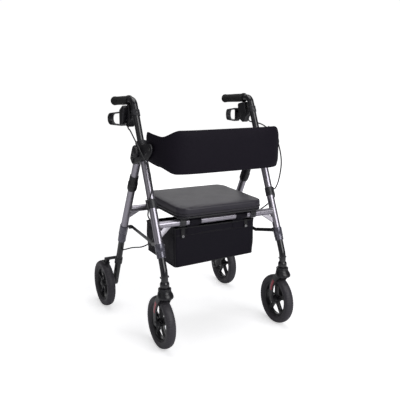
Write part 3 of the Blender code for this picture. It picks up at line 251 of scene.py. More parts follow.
def new_group(name: str, label: str, default: float, outputs: list[str]
              ) -> tuple[Nodes, bpy.types.bpy_prop_collection, bpy.types.bpy_prop_collection]:
    """Make an empty shader node group with a vector input and a number input.

    Args:
        name: The group's name.
        label: The number's name.
        default: The number's default.
        outputs: Names of the value outputs.

    Returns:
        The group's nodes, its inputs' sockets and its outputs' sockets.
    """
    tree = bpy.data.node_groups.new(name, "ShaderNodeTree")
    tree.interface.new_socket("Vector", in_out="INPUT", socket_type="NodeSocketVector")
    number = tree.interface.new_socket(label, in_out="INPUT", socket_type="NodeSocketFloat")
    number.default_value = default
    for output in outputs:
        tree.interface.new_socket(output, in_out="OUTPUT", socket_type="NodeSocketFloat")
    nodes = Nodes(tree)
    return nodes, nodes.add("NodeGroupInput").outputs, nodes.add("NodeGroupOutput").inputs


def pattern_group(texture: Texture) -> bpy.types.NodeTree:
    """Build the node group of a surface pattern, or find it if it is there.

    Args:
        texture: The pattern.

    Returns:
        A group with inputs Vector and Scale, and outputs Height and Mask.
    """
    found = bpy.data.node_groups.get(texture.value)
    if found:
        return found
    nodes, start, end = new_group(texture.value, "Scale", 100.0, ["Height", "Mask"])
    vector, scale = start["Vector"], start["Scale"]
    broad = nodes.noise(vector, nodes.maths("MULTIPLY", scale, 0.03), 3.0)
    if texture is Texture.GRAIN:
        height = nodes.noise(vector, scale, 3.0)
    elif texture is Texture.STREAK:
        stretch = nodes.add("ShaderNodeMapping", {"Scale": (1.0, 1.0, 0.015)})
        nodes.link(vector, stretch.inputs["Vector"])
        height = nodes.noise(stretch.outputs[0], scale, 2.0)
        broad = nodes.noise(stretch.outputs[0], nodes.maths("MULTIPLY", scale, 0.15), 2.0)
    elif texture is Texture.PEBBLE:
        cells = nodes.add("ShaderNodeTexVoronoi", feature="SMOOTH_F1")
        nodes.link(vector, cells.inputs["Vector"])
        nodes.link(scale, cells.inputs["Scale"])
        height = nodes.maths("SUBTRACT", 1.0, cells.outputs["Distance"])
    else:
        split = nodes.add("ShaderNodeSeparateXYZ")
        nodes.link(vector, split.inputs[0])
        waves = []
        for axis in range(2):
            turns = nodes.maths("MULTIPLY", split.outputs[axis], scale)
            waves.append(nodes.maths("SINE", turns))
        height = nodes.maths("MULTIPLY", waves[0], waves[1])
    nodes.link(height, end["Height"])
    nodes.link(broad, end["Mask"])
    return nodes.tree


def effect_group(effect: Effect) -> bpy.types.NodeTree:
    """Build the node group of a sign of use, or find it if it is there.

    Args:
        effect: Rubbed edges, or dust on upward faces.

    Returns:
        A group with inputs Vector and Amount, and output Mask.
    """
    found = bpy.data.node_groups.get(effect.value)
    if found:
        return found
    nodes, start, end = new_group(effect.value, "Amount", 0.1, ["Mask"])
    geometry = nodes.add("ShaderNodeNewGeometry").outputs
    if effect is Effect.WEAR:
        edges = nodes.add("ShaderNodeMapRange", {"From Min": 0.52, "From Max": 0.60})
        nodes.link(geometry["Pointiness"], edges.inputs["Value"])
        patches = nodes.maths("GREATER_THAN", nodes.noise(start["Vector"], 90.0, 4.0), 0.45)
        where = nodes.maths("MULTIPLY", edges.outputs[0], patches)
    else:
        split = nodes.add("ShaderNodeSeparateXYZ")
        nodes.link(geometry["Normal"], split.inputs[0])
        upward = nodes.maths("MAXIMUM", split.outputs["Z"], 0.0)
        where = nodes.maths("MULTIPLY", upward, nodes.noise(start["Vector"], 60.0, 5.0))
    nodes.link(nodes.maths("MULTIPLY", where, start["Amount"]), end["Mask"])
    return nodes.tree


# Finishes

DUST_COLOUR = (0.30, 0.29, 0.28)
COAT_ROUGHNESS = 0.12
SHEEN_ROUGHNESS = 0.4


@dataclass(frozen=True)
class Finish:
    """A finish of the walker: colours, gloss and surface pattern."""

    name: str
    slot: str
    colour: tuple[float, float, float]
    tint: tuple[float, float, float]
    roughness: float
    rough_spread: float = 0.10
    metallic: float = 0.0
    texture: Texture = Texture.GRAIN
    scale: float = 900.0
    bump: float = 0.15
    depth: float = 0.0002
    wear: float = 0.0
    worn: tuple[float, float, float] = (0.12, 0.12, 0.125)
    dust: float = 0.04
    coat: float = 0.0
    sheen: float = 0.0
    specular: float = 0.5
    turn: tuple[float, float, float] = (0.0, 0.0, 0.0)
    on_uv: bool = False

    def material(self) -> bpy.types.Material:
        """Build the finish's material, or find it if it is there.

        Returns:
            The material.
        """
        found = bpy.data.materials.get(self.name)
        if found:
            return found
        material = bpy.data.materials.new(self.name)
        material.use_nodes = True
        nodes = Nodes(material.node_tree)
        shader = material.node_tree.nodes["Principled BSDF"]
        for label, value in (("Metallic", self.metallic), ("Specular IOR Level", self.specular),
                             ("Coat Weight", self.coat), ("Coat Roughness", COAT_ROUGHNESS),
                             ("Sheen Weight", self.sheen), ("Sheen Roughness", SHEEN_ROUGHNESS)):
            shader.inputs[label].default_value = value
        place = nodes.add("ShaderNodeTexCoord")
        mapping = nodes.add("ShaderNodeMapping", {"Rotation": self.turn})
        nodes.link(place.outputs["UV" if self.on_uv else "Object"], mapping.inputs["Vector"])
        vector = mapping.outputs["Vector"]
        pattern = nodes.add("ShaderNodeGroup", {"Scale": self.scale}, node_tree=pattern_group(self.texture))
        nodes.link(vector, pattern.inputs["Vector"])
        colour = self._mix(nodes, pattern.outputs["Mask"], (*self.colour, 1.0), self.tint)
        for effect, amount, over in ((Effect.WEAR, self.wear, self.worn),
                                     (Effect.DUST, self.dust, DUST_COLOUR)):
            if amount > 0:
                layer = nodes.add("ShaderNodeGroup", {"Amount": amount}, node_tree=effect_group(effect))
                nodes.link(place.outputs["Object"], layer.inputs["Vector"])
                colour = self._mix(nodes, layer.outputs["Mask"], colour, over)
        nodes.link(colour, shader.inputs["Base Color"])
        rough = nodes.add("ShaderNodeMapRange", {"To Min": self.roughness - self.rough_spread,
                                                 "To Max": self.roughness + self.rough_spread})
        nodes.link(pattern.outputs["Mask"], rough.inputs["Value"])
        nodes.link(rough.outputs[0], shader.inputs["Roughness"])
        bump = nodes.add("ShaderNodeBump", {"Strength": self.bump, "Distance": self.depth})
        nodes.link(pattern.outputs["Height"], bump.inputs["Height"])
        nodes.link(bump.outputs["Normal"], shader.inputs["Normal"])
        return material

    @staticmethod
    def _mix(nodes: Nodes, mask: bpy.types.NodeSocket, first: object, second: object) -> bpy.types.NodeSocket:
        """Mix two colours by a mask.

        Args:
            nodes: The material's nodes.
            mask: The mask's socket.
            first: A colour with its alpha, or a colour's socket, shown where the mask is 0.
            second: The colour shown where the mask is 1.

        Returns:
            The mixed colour's socket.
        """
        mix = nodes.add("ShaderNodeMix", {7: (*second, 1.0)}, data_type="RGBA")
        nodes.link(mask, mix.inputs["Factor"])
        nodes.feed(first, mix.inputs[6])
        return mix.outputs[2]


def silver(name: str, turn: tuple[float, float, float]) -> Finish:
    """Satin anodised tube, with faint drawn streaks along the tube.

    Args:
        name: The material's name.
        turn: Rotation from the walker's axes to the tube's, with the tube along z.

    Returns:
        The finish.
    """
    return Finish(name, "silver_tube", (0.37, 0.35, 0.405), (0.47, 0.45, 0.505), 0.32, 0.06, 0.90,
                  Texture.STREAK, 420.0, 0.10, 0.0001, dust=0.02, turn=turn)


SILVER_FRONT = silver("silver_front_leg", (LEG_LEAN, 0.0, 0.0))
SILVER_REAR = silver("silver_rear_leg", (-REAR_LEAN, 0.0, 0.0))
SILVER_CROSS = silver("silver_cross_tube", (0.0, math.pi / 2, 0.0))
WELD = Finish("weld_bead", "silver_tube", (0.33, 0.32, 0.34), (0.46, 0.45, 0.47), 0.42, 0.1, 0.9,
              scale=500.0, bump=0.4)
BLACK_PAINT = Finish("black_tube_paint", "black_paint", (0.005, 0.0045, 0.0075), (0.008, 0.0075, 0.0110),
                     0.30, 0.04, 0.0, scale=1400.0, bump=0.04, wear=0.12, coat=0.5, dust=0.008)
SLEEVE = Finish("sleeve_plastic", "black_paint", (0.105, 0.102, 0.135), (0.150, 0.146, 0.185), 0.26, 0.06,
                0.55, scale=1200.0, bump=0.06, wear=0.1, worn=(0.2, 0.2, 0.21), coat=0.5)
# Gusset silver: the tube silver painted lighter and made less metallic. This is painted light, standing in
# for light that the gussets' forward- and down-facing faces don't catch.
PAINTED_LIGHT_BRACE = Finish("silver_brace", "silver_tube", (0.50, 0.48, 0.54), (0.60, 0.58, 0.63), 0.42, 0.06, 0.45,
               scale=600.0, bump=0.08, dust=0.0)
PLASTIC = Finish("moulded_plastic", "black_plastic", (0.006, 0.0058, 0.0085), (0.011, 0.0105, 0.0145), 0.40,
                 0.08, 0.0, scale=1500.0, bump=0.16, wear=0.5, worn=(0.09, 0.09, 0.1))
GLOSS_PLASTIC = Finish("fork_plastic", "black_plastic", (0.006, 0.0058, 0.0085), (0.011, 0.0105, 0.0145),
                       0.30, 0.06, 0.0, scale=900.0, bump=0.06, wear=0.4, worn=(0.08, 0.08, 0.09))
GRIP_RUBBER = Finish("grip_rubber", "grip_rubber", (0.012, 0.012, 0.014), (0.026, 0.026, 0.029), 0.62,
                     0.08, 0.0, scale=1800.0, bump=0.25, specular=0.35)
TYRE_RUBBER = Finish("tyre_rubber", "tyre", (0.036, 0.033, 0.042), (0.060, 0.056, 0.066), 0.48, 0.08, 0.0,
                     scale=1300.0, bump=0.3, dust=0.12, specular=0.35)
SEAT_SKIN = Finish("seat_leatherette", "leatherette", (0.021, 0.018, 0.028), (0.029, 0.025, 0.037), 0.44,
                   0.06, 0.0, Texture.PEBBLE, 900.0, 0.22, 0.0002, sheen=0.1, dust=0.03)
SEAT_SIDE = Finish("seat_side_skin", "leatherette", (0.020, 0.020, 0.024), (0.032, 0.031, 0.036), 0.5,
                   0.08, 0.0, Texture.PEBBLE, 900.0, 0.22, 0.0002)
BAND_CLOTH = Finish("band_cloth", "back_padding", (0.0075, 0.0058, 0.0110), (0.012, 0.0095, 0.0165), 0.60,
                    0.06, 0.0, Texture.WEAVE, 5200.0, 0.28, 0.00012, sheen=0.02, specular=0.12, on_uv=True,
                    dust=0.01)
BAND_HEM = Finish("band_hem", "back_padding", (0.010, 0.010, 0.012), (0.018, 0.018, 0.021), 0.7,
                  0.06, 0.0, scale=1500.0, bump=0.3, sheen=0.15)
BAG_CLOTH = Finish("bag_nylon", "bag_fabric", (0.0055, 0.0046, 0.0090), (0.0105, 0.0088, 0.0155), 0.50, 0.08,
                   0.0, Texture.WEAVE, 4800.0, 0.35, 0.00015, sheen=0.015, specular=0.14, on_uv=True,
                   dust=0.01)
BAG_TRIM = Finish("bag_webbing", "bag_fabric", (0.0045, 0.0042, 0.0060), (0.009, 0.0085, 0.0110), 0.62, 0.06,
                  0.0, scale=1600.0, bump=0.4)
ZINC = Finish("zinc_steel", "zinc", (0.40, 0.40, 0.42), (0.55, 0.55, 0.56), 0.30, 0.08, 1.0,
              scale=700.0, bump=0.05, dust=0.0)
DARK_BOLT = Finish("dark_bolt", "zinc", (0.035, 0.035, 0.038), (0.06, 0.06, 0.064), 0.38, 0.08, 0.7,
                   scale=700.0, bump=0.05, wear=0.6, worn=(0.3, 0.3, 0.3), dust=0.0)
RED = Finish("red_insert", "black_plastic", (0.36, 0.018, 0.040), (0.48, 0.030, 0.060), 0.30, 0.05, 0.0,
             scale=500.0, bump=0.05, coat=0.4)
JACKET = Finish("cable_jacket", "cable", (0.010, 0.010, 0.012), (0.018, 0.018, 0.020), 0.36, 0.06, 0.0,
                scale=1500.0, bump=0.08)


# Modelling


def clamped(value: float) -> float:
    """A value held between 0 and 1."""
    return min(1.0, max(0.0, value))


def eased(share: float) -> float:
    """A share from 0 to 1, made to start and end smoothly."""
    return share * share * (3 - 2 * share)


def select_only(obj: bpy.types.Object) -> None:
    """Make an object the active one, and the only one selected."""
    bpy.ops.object.select_all(action="DESELECT")
    obj.select_set(True)
    bpy.context.view_layer.objects.active = obj


def tidy_mesh(obj: bpy.types.Object, merge: float = 1e-6) -> None:
    """Merge doubled points, drop loose ones and turn all faces outwards.

    Args:
        obj: A closed mesh.
        merge: Distance under which points are merged.
    """
    select_only(obj)
    bpy.ops.object.mode_set(mode="EDIT")
    bpy.ops.mesh.select_all(action="SELECT")
    bpy.ops.mesh.remove_doubles(threshold=merge)
    bpy.ops.mesh.delete_loose()
    bpy.ops.mesh.select_all(action="SELECT")
    bpy.ops.mesh.normals_make_consistent(inside=False)
    bpy.ops.object.mode_set(mode="OBJECT")


def modify(obj: bpy.types.Object, kind: str, **settings: object) -> bpy.types.Object:
    """Add a modifier and apply it.

    Args:
        obj: The object.
        kind: Blender's name of the modifier type.
        settings: The modifier's values.

    Returns:
        The same object.
    """
    select_only(obj)
    modifier = obj.modifiers.new(kind.lower(), kind)
    for key, value in settings.items():
        setattr(modifier, key, value)
    bpy.ops.object.modifier_apply(modifier=modifier.name)
    return obj


def rounded(obj: bpy.types.Object, width: float, segments: int = 3, angle: float = 30) -> bpy.types.Object:
    """Round the edges that are sharper than an angle in degrees."""
    return modify(obj, "BEVEL", width=width, segments=segments, limit_method="ANGLE",
                  angle_limit=math.radians(angle))


def combined(obj: bpy.types.Object, others: list[bpy.types.Object], operation: str) -> bpy.types.Object:
    """Join solids to a solid, or cut them out, and remove them.

    Args:
        obj: The solid that stays.
        others: The solids that are used up.
        operation: UNION or DIFFERENCE.

    Returns:
        The solid that stays.
    """
    for other in others:
        modify(obj, "BOOLEAN", object=other, operation=operation, solver="EXACT")
        bpy.data.objects.remove(other, do_unlink=True)
    return obj


def grouped(objects: list[bpy.types.Object]) -> bpy.types.Object:
    """Make several meshes one object, without fusing them."""
    bpy.ops.object.select_all(action="DESELECT")
    for obj in objects:
        obj.select_set(True)
    bpy.context.view_layer.objects.active = objects[0]
    if len(objects) > 1:
        bpy.ops.object.join()
    return objects[0]


def from_bmesh(bm: bmesh.types.BMesh, name: str) -> bpy.types.Object:
    """Turn a closed bmesh's faces outwards and make it an object.

    Args:
        bm: The bmesh, which is used up.
        name: The object's name.

    Returns:
        The object, in the scene.
    """
    bmesh.ops.recalc_face_normals(bm, faces=bm.faces)
    mesh = bpy.data.meshes.new(name)
    bm.to_mesh(mesh)
    bm.free()
    obj = bpy.data.objects.new(name, mesh)
    bpy.context.scene.collection.objects.link(obj)
    return obj


def closed_ring(points: list[tuple[float, float, float]]) -> bpy.types.Object:
    """A closed chain of edges through some points, left in edit mode with all of it selected."""
    bpy.ops.mesh.primitive_circle_add(vertices=len(points), radius=1.0, location=(0, 0, 0))
    obj = bpy.context.object
    for vertex, point in zip(obj.data.vertices, points):
        vertex.co = point
    bpy.ops.object.mode_set(mode="EDIT")
    bpy.ops.mesh.select_all(action="SELECT")
    return obj


def both_ways(half: list[tuple[float, float]]) -> list[tuple[float, float]]:
    """A half section, with its mirror image on the other side of height 0."""
    return half + [(radius, -height) for radius, height in half[::-1]]


def facing(axis: Vector) -> Matrix:
    """Rotation that turns +Z to a direction."""
    return UP.rotation_difference(Vector(axis)).to_matrix().to_4x4()


def turned(section: list[tuple[float, float]], origin: Vector, axis: Vector,
           steps: int = 48) -> bpy.types.Object:
    """Spin a section about an axis.

    Args:
        section: (radius, height) points of the closed section, in order.
        origin: Where the axis starts.
        axis: Direction of the axis.
        steps: Number of steps round.

    Returns:
        The turned solid.
    """
    obj = closed_ring([(radius, 0.0, height) for radius, height in section])
    bpy.ops.mesh.spin(steps=steps, angle=2 * math.pi, center=(0, 0, 0), axis=(0, 0, 1))
    bpy.ops.object.mode_set(mode="OBJECT")
    obj.data.transform(Matrix.Translation(origin) @ facing(axis))
    tidy_mesh(obj)
    return obj


def straight(start: Vector, end: Vector, radius: float, edge: float = 0.0008, steps: int = 48,
             bore: float = 0.0) -> bpy.types.Object:
    """A round bar between two points with eased ends, or a tube where it has a bore."""
    length = (end - start).length
    section = [(bore, length), (radius - edge, length), (radius, length - edge), (radius, edge),
               (radius - edge, 0.0), (bore, 0.0)]
    return turned(section, start, end - start, steps)


def dome(face: Vector, axis: Vector, radius: float, height: float, steps: int = 24) -> bpy.types.Object:
    """A rivet's or screw's low domed head on a face."""
    section = [(0.0, height), (radius * 0.45, height * 0.93), (radius * 0.8, height * 0.62),
               (radius, height * 0.15), (radius, -0.0004), (0.0, -0.0004)]
    return turned(section, face, axis, steps)


def tube(path: list[Vector], radius: float, cyclic: bool = False, sides: int = 8) -> bpy.types.Object:
    """A round tube along a chain of points.

    Args:
        path: The points.
        radius: The tube's radius.
        cyclic: Whether it closes on itself.
        sides: Half the number of faces round it, less 2.

    Returns:
        The closed tube.
    """
    bpy.ops.curve.primitive_bezier_curve_add(location=(0, 0, 0))
    obj = bpy.context.object
    curve = obj.data
    curve.splines.clear()
    spline = curve.splines.new("POLY")
    spline.points.add(len(path) - 1)
    for place, point in zip(spline.points, path):
        place.co = (*point, 1.0)
    spline.use_cyclic_u = cyclic
    curve.dimensions = "3D"
    curve.bevel_depth = radius
    curve.bevel_resolution = sides
    curve.use_fill_caps = not cyclic
    select_only(obj)
    bpy.ops.object.convert(target="MESH")
    tidy_mesh(obj)
    return obj


def slab(outline: list[Vector], low: float, high: float, turn: Matrix) -> bpy.types.Object:
    """Extrude a flat outline.

    Args:
        outline: Points of the outline, in its own plane.
        low: Height of the first face.
        high: Height of the last face.
        turn: Rotation from the outline's own axes to the walker's.

    Returns:
        The solid plate.
    """
    obj = closed_ring([(point[0], point[1], low) for point in outline])
    bpy.ops.mesh.edge_face_add()
    bpy.ops.mesh.extrude_region_move(TRANSFORM_OT_translate={"value": (0.0, 0.0, high - low)})
    bpy.ops.object.mode_set(mode="OBJECT")
    obj.data.transform(turn)
    tidy_mesh(obj)
    return obj


TO_SIDE_PLANE = Matrix(((0, 0, 1, 0), (1, 0, 0, 0), (0, 1, 0, 0), (0, 0, 0, 1)))


def side_plate(outline: list[Vector], x_low: float, x_high: float, rounding: float = 0.0,
               segments: int = 3) -> bpy.types.Object:
    """A plate with a (y, z) outline between two x planes, with round edges."""
    plate = slab(outline, x_low, x_high, TO_SIDE_PLANE)
    return rounded(plate, rounding, segments) if rounding > 0 else plate


def bar(start: Vector, end: Vector, across: Vector, width: float, thickness: float,
        rounding: float = 0.0008) -> bpy.types.Object:
    """A flat bar between two points, with round edges.

    Args:
        start: Middle of the first end.
        end: Middle of the last end.
        across: Rough direction of the bar's width.
        width: The bar's width.
        thickness: The bar's thickness.
        rounding: Radius of its edges.

    Returns:
        The bar.
    """
    along = (end - start).normalized()
    side = (across - along * across.dot(along)).normalized()
    bpy.ops.mesh.primitive_cube_add(size=1.0, location=(0, 0, 0))
    obj = bpy.context.object
    obj.data.transform(Matrix.Diagonal(((end - start).length, width, thickness, 1.0)))
    rounded(obj, rounding, 2)
    turn = Matrix((along, side, along.cross(side))).transposed().to_4x4()
    obj.data.transform(Matrix.Translation((start + end) / 2) @ turn)
    return obj


def hull_outline(circles: list[tuple[float, float, float]], steps: int = 32) -> list[Vector]:
    """Outline of the tightest band round some circles.

    Args:
        circles: Each circle's two centre coordinates and radius.
        steps: Points on each circle.

    Returns:
        The outline's points, in order.
    """
    points = []
    for first, second, radius in circles:
        for i in range(steps):
            angle = 2 * math.pi * i / steps
            points.append(Vector((first + radius * math.cos(angle), second + radius * math.sin(angle))))
    return [points[i] for i in convex_hull_2d(points)]


def around(point: Vector, *circles: tuple[float, float, float]) -> list[tuple[float, float, float]]:
    """Circles of the side plane, given as (y, z, radius) from a point."""
    return [(point.y + y, point.z + z, radius) for y, z, radius in circles]


def hull_plate(circles: list[tuple[float, float, float]], half: float, rounding: float = 0.0,
               segments: int = 3) -> bpy.types.Object:
    """A plate round some circles, reaching a half thickness to each side of the left frame's plane."""
    return side_plate(hull_outline(circles), FRAME_X - half, FRAME_X + half, rounding, segments)


def bent_path(points: list[Vector], radius: float, steps: int = 14) -> list[Vector]:
    """A chain of points with its inner corners replaced by arcs.

    Args:
        points: Ends and corners.
        radius: Radius of the arcs.
        steps: Steps on each arc.

    Returns:
        The points of the path.
    """
    path = [points[0]]
    for before, corner, after in zip(points, points[1:], points[2:]):
        to_before = (before - corner).normalized()
        to_after = (after - corner).normalized()
        half = to_before.angle(to_after) / 2
        centre = corner + (to_before + to_after).normalized() * radius / math.sin(half)
        first = corner + to_before * radius / math.tan(half) - centre
        last = corner + to_after * radius / math.tan(half) - centre
        whole = first.rotation_difference(last)
        for i in range(steps + 1):
            turn = whole.copy()
            turn.angle = whole.angle * i / steps
            path.append(centre + turn @ first)
    path.append(points[-1])
    return path


def smooth_path(points: list[Vector], spacing: float) -> list[Vector]:
    """A smooth curve through some points.

    Args:
        points: The points that it passes.
        spacing: Rough distance between the curve's own points.

    Returns:
        The curve's points.
    """
    padded = [2 * points[0] - points[1]] + points + [2 * points[-1] - points[-2]]
    path = []
    for a, b, c, d in zip(padded, padded[1:], padded[2:], padded[3:]):
        steps = max(1, round((c - b).length / spacing))
        for i in range(steps):
            t = i / steps
            path.append(0.5 * (2 * b + (c - a) * t + (2 * a - 5 * b + 4 * c - d) * t * t
                               + (3 * b - a - 3 * c + d) * t ** 3))
    path.append(points[-1])
    return path


def lines_cross(point_a: Vector, along_a: Vector, point_b: Vector, along_b: Vector) -> Vector:
    """Where two lines in one side plane cross."""
    offset = point_b - point_a
    cross = along_a.y * along_b.z - along_a.z * along_b.y
    return point_a + along_a * ((offset.y * along_b.z - offset.z * along_b.y) / cross)


def mirrored(obj: bpy.types.Object) -> bpy.types.Object:
    """The right-hand copy of a left piece, with a mesh of its own."""
    copy = bpy.data.objects.new(obj.name + "_copy", obj.data.copy())
    bpy.context.scene.collection.objects.link(copy)
    copy.data.transform(Matrix.Scale(-1, 4, LEFT))
    copy.data.flip_normals()
    return copy


# Dressing


def dress(obj: bpy.types.Object, name: str, finish: Finish, body: str, *nodes: str,
          smooth: float = 35) -> bpy.types.Object:
    """Name a piece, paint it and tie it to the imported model.

    Args:
        obj: The piece, with its place in its mesh.
        name: The piece's name.
        finish: Its finish.
        body: The body that it moves with.
        nodes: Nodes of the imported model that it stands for.
        smooth: Angle in degrees under which faces shade smoothly.

    Returns:
        The piece.
    """
    obj.name = name
    obj.data.name = name
    if not obj.data.materials:
        obj.data.materials.append(finish.material())
    select_only(obj)
    bpy.ops.object.shade_smooth_by_angle(angle=math.radians(smooth))
    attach(obj, body)
    if nodes:
        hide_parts(*nodes)
    LOG.info("%s rides on %s", name, body)
    return obj


def dress_pair(obj: bpy.types.Object, name: str, finish: Finish, body: str, node: str = "",
               smooth: float = 35) -> list[bpy.types.Object]:
    """Dress a left piece and its mirrored right copy.

    Args:
        obj: The left piece.
        name: The name, without its side.
        finish: The finish of both.
        body: The body, without its side where it has one.
        node: The node that they stand for, without its side.
        smooth: Angle in degrees under which faces shade smoothly.

    Returns:
        The left and the right piece.
    """
    pieces = []
    copy = mirrored(obj)
    for side, piece in ((Side.LEFT, obj), (Side.RIGHT, copy)):
        sided = body + "_" + side.label
        nodes = [node + "_" + side.label] if node else []
        pieces.append(dress(piece, name + "_" + side.label, finish,
                            sided if sided in frame["bodies"] else body, *nodes, smooth=smooth))
    return pieces


def at_x(point: Vector, x: float) -> Vector:
    """A point moved along X to a place."""
    return Vector((x, point.y, point.z))


def along_x(point: Vector, x_from: float, x_to: float, radius: float,
            edge: float = 0.0006) -> bpy.types.Object:
    """A round bar along X through a point of the side plane."""
    return straight(at_x(point, x_from), at_x(point, x_to), radius, edge, 36)


def drilled(obj: bpy.types.Object, point: Vector, radius: float, reach: float = 0.05) -> bpy.types.Object:
    """Cut a round hole along X through a solid of the left side frame."""
    return combined(obj, [along_x(point, FRAME_X - reach, FRAME_X + reach, radius)], "DIFFERENCE")


# Side frames


@dataclass
class SideFrames:
    """Silver legs and cross tubes, black lower tubes, collars, clips and release buttons."""

    front_foot: float = 0.1155
    front_top: float = 0.484
    rear_foot: float = 0.1015
    leg_bore: float = 0.0128
    leg_head: float = 0.0085
    front_bend: float = 0.085
    rear_bend: float = 0.12
    gusset_drop: float = 0.044
    gusset_reach: float = 0.056
    collar_rise: float = 0.295
    bead_steps: int = 72
    button_half: float = 0.0169
    sleeve_radius: float = 0.0168
    front_sleeve: tuple[float, float] = (0.032, 0.017)
    rear_sleeve: tuple[float, float] = (0.042, 0.038)
    plug: float = 0.060

    def build(self) -> None:
        """Model all pieces of both side frames."""
        self.legs()
        self.cross_tube("front", FRONT_TUBE, LEG_UP, "frame")
        self.cross_tube("rear", REAR_TUBE, REAR_UP, "rear_frame")
        self.front_lower_tubes()
        self.rear_lower_tubes()
        self.collars()
        self.clips()
        self.buttons()

    def legs(self) -> None:
        """The silver tubes of the front and rear legs."""
        front = (leg_point(self.front_foot), leg_point(self.front_top))
        rear = (rear_leg_point(self.rear_foot), PIVOT + REAR_UP * self.leg_head)
        for name, ends, finish, body in (("front_leg", front, SILVER_FRONT, "frame"),
                                         ("rear_leg", rear, SILVER_REAR, "rear_frame")):
            leg = straight(*ends, LEG_RADIUS, 0.0006, bore=self.leg_bore)
            dress_pair(leg, name + "_tube", finish, body, name)

    def cross_tube(self, name: str, middle: Vector, leg_up: Vector, body: str) -> None:
        """A cross tube, with a weld bead and a gusset at each leg.

        Args:
            name: front or rear.
            middle: Middle of the tube.
            leg_up: Direction of the legs.
            body: The body that carries it.
        """
        left = middle + LEFT * FRAME_X
        reach = leg_up * 0.09
        cross = straight(middle - LEFT * FRAME_X, left, TUBE_RADIUS)
        gusset = bar(left - leg_up * self.gusset_drop, left - LEFT * self.gusset_reach,
                     leg_up.cross(LEFT), 0.005, 0.018, 0.0012)
        right_gusset = mirrored(gusset)
        for side, brace in ((1, gusset), (-1, right_gusset)):
            leg_space = straight(left - reach, left + reach, LEG_RADIUS + GAP / 2)
            leg_space.data.transform(Matrix.Diagonal((side, 1, 1, 1)))
            if side < 0:
                tidy_mesh(leg_space)
            for cutter in (leg_space, cross):
                modify(brace, "BOOLEAN", object=cutter, operation="DIFFERENCE", solver="EXACT")
            combined(cross, [leg_space], "DIFFERENCE")
        dress(cross, name + "_cross_pipe", SILVER_CROSS, body, name + "_cross_tube")
        # The gussets take the lightened silver, which paints light onto them.
        dress(gusset, name + "_gusset_left", PAINTED_LIGHT_BRACE, body)
        dress(right_gusset, name + "_gusset_right", PAINTED_LIGHT_BRACE, body)
        dress_pair(self.weld_bead(left, leg_up), name + "_weld", WELD, body, smooth=60)

    def weld_bead(self, left: Vector, leg_up: Vector) -> bpy.types.Object:
        """The rippled bead where a cross tube meets its left leg."""
        across = leg_up.cross(LEFT)
        points = []
        for i in range(self.bead_steps):
            angle = 2 * math.pi * i / self.bead_steps
            side = TUBE_RADIUS * math.sin(angle)
            out = math.sqrt((LEG_RADIUS + 0.0004) ** 2 - side ** 2) + 0.0003 * math.sin(18 * angle)
            along = leg_up * TUBE_RADIUS * math.cos(angle)
            points.append(left - LEFT * (out + 0.0005) + along + across * side)
        return tube(points, 0.0019, cyclic=True, sides=3)

    def sleeve(self, step: Vector, up: Vector, down: Vector, length: float, skirt: float) -> bpy.types.Object:
        """The stepped sleeve over a leg's foot.

        Args:
            step: Where the leg ends and the lower tube goes on.
            up: Direction of the leg.
            down: Direction of the lower tube.
            length: Length over the leg.
            skirt: Length over the lower tube.

        Returns:
            The sleeve, in two turned shells that pass into each other.
        """
        bore = LEG_RADIUS + GAP
        radius = self.sleeve_radius
        over = turned([(bore, length), (radius - 0.0008, length), (radius, length - 0.0009),
                       (radius, 0.0060), (radius - 0.0005, 0.0052), (radius - 0.0005, 0.0040),
                       (radius, 0.0032), (radius, -0.0010), (radius - 0.0008, -0.0020),
                       (LOWER_RADIUS, -0.0020), (LOWER_RADIUS, -GAP), (bore, -GAP)], step, up)
        under = turned([(LOWER_RADIUS, skirt), (radius - 0.0022, skirt), (radius - 0.0010, skirt - 0.0013),
                        (radius - 0.0010, 0.0), (LOWER_RADIUS, 0.0)], step, down)
        return grouped([over, under])

    @staticmethod
    def stay_pin(point: Vector, x_end: float) -> bpy.types.Object:
        """Boss, pin and domed head that carry one end of a fold stay."""
        x_head = x_end - 0.0046
        return grouped([along_x(point, FRAME_X - 0.0130, x_end, 0.008),
                        along_x(point, x_end + 0.003, x_head - 0.0004, 0.003, 0.0002),
                        dome(at_x(point, x_head), -LEFT, RIVET_RADIUS, 0.0014)])

    def front_lower_tubes(self) -> None:
        """Black lower tubes that bend to the upright caster stems, with cups and sleeves."""
        stem = Vector((FRAME_X, STEM_Y, FRAME_Z))
        corner = lines_cross(leg_point(0), LEG_UP, stem, UP)
        path = bent_path([leg_point(self.front_foot + self.plug), corner, stem + UP * 0.012],
                         self.front_bend, 20)
        lower = tube(path, LOWER_RADIUS, sides=14)
        cup = turned([(0.0, 0.022), (0.0134, 0.022), (0.0146, 0.0208), (0.0164, 0.0160),
                      (0.0167, 0.0145), (0.0167, 0.0014), (0.0157, 0.0), (0.0, 0.0)], stem, UP)
        stem_space = straight(stem - UP * 0.01, stem + UP * 0.026, 0.0063)
        pin_space = along_x(self.button_point(), FRAME_X - 0.03, FRAME_X + 0.03, 0.0041)
        lower = combined(lower, [cup], "UNION")
        lower = combined(lower, [stem_space, pin_space], "DIFFERENCE")
        dress_pair(lower, "front_lower_tube", BLACK_PAINT, "frame", "front_lower_leg", smooth=40)
        sleeve = self.sleeve(leg_point(self.front_foot), LEG_UP, -LEG_UP, *self.front_sleeve)
        dress_pair(sleeve, "front_sleeve", SLEEVE, "frame")
        pin = self.stay_pin(Vector((0, *STAY_FRONT)), 0.2282)
        dress_pair(pin, "front_stay_pin", PLASTIC, "frame")

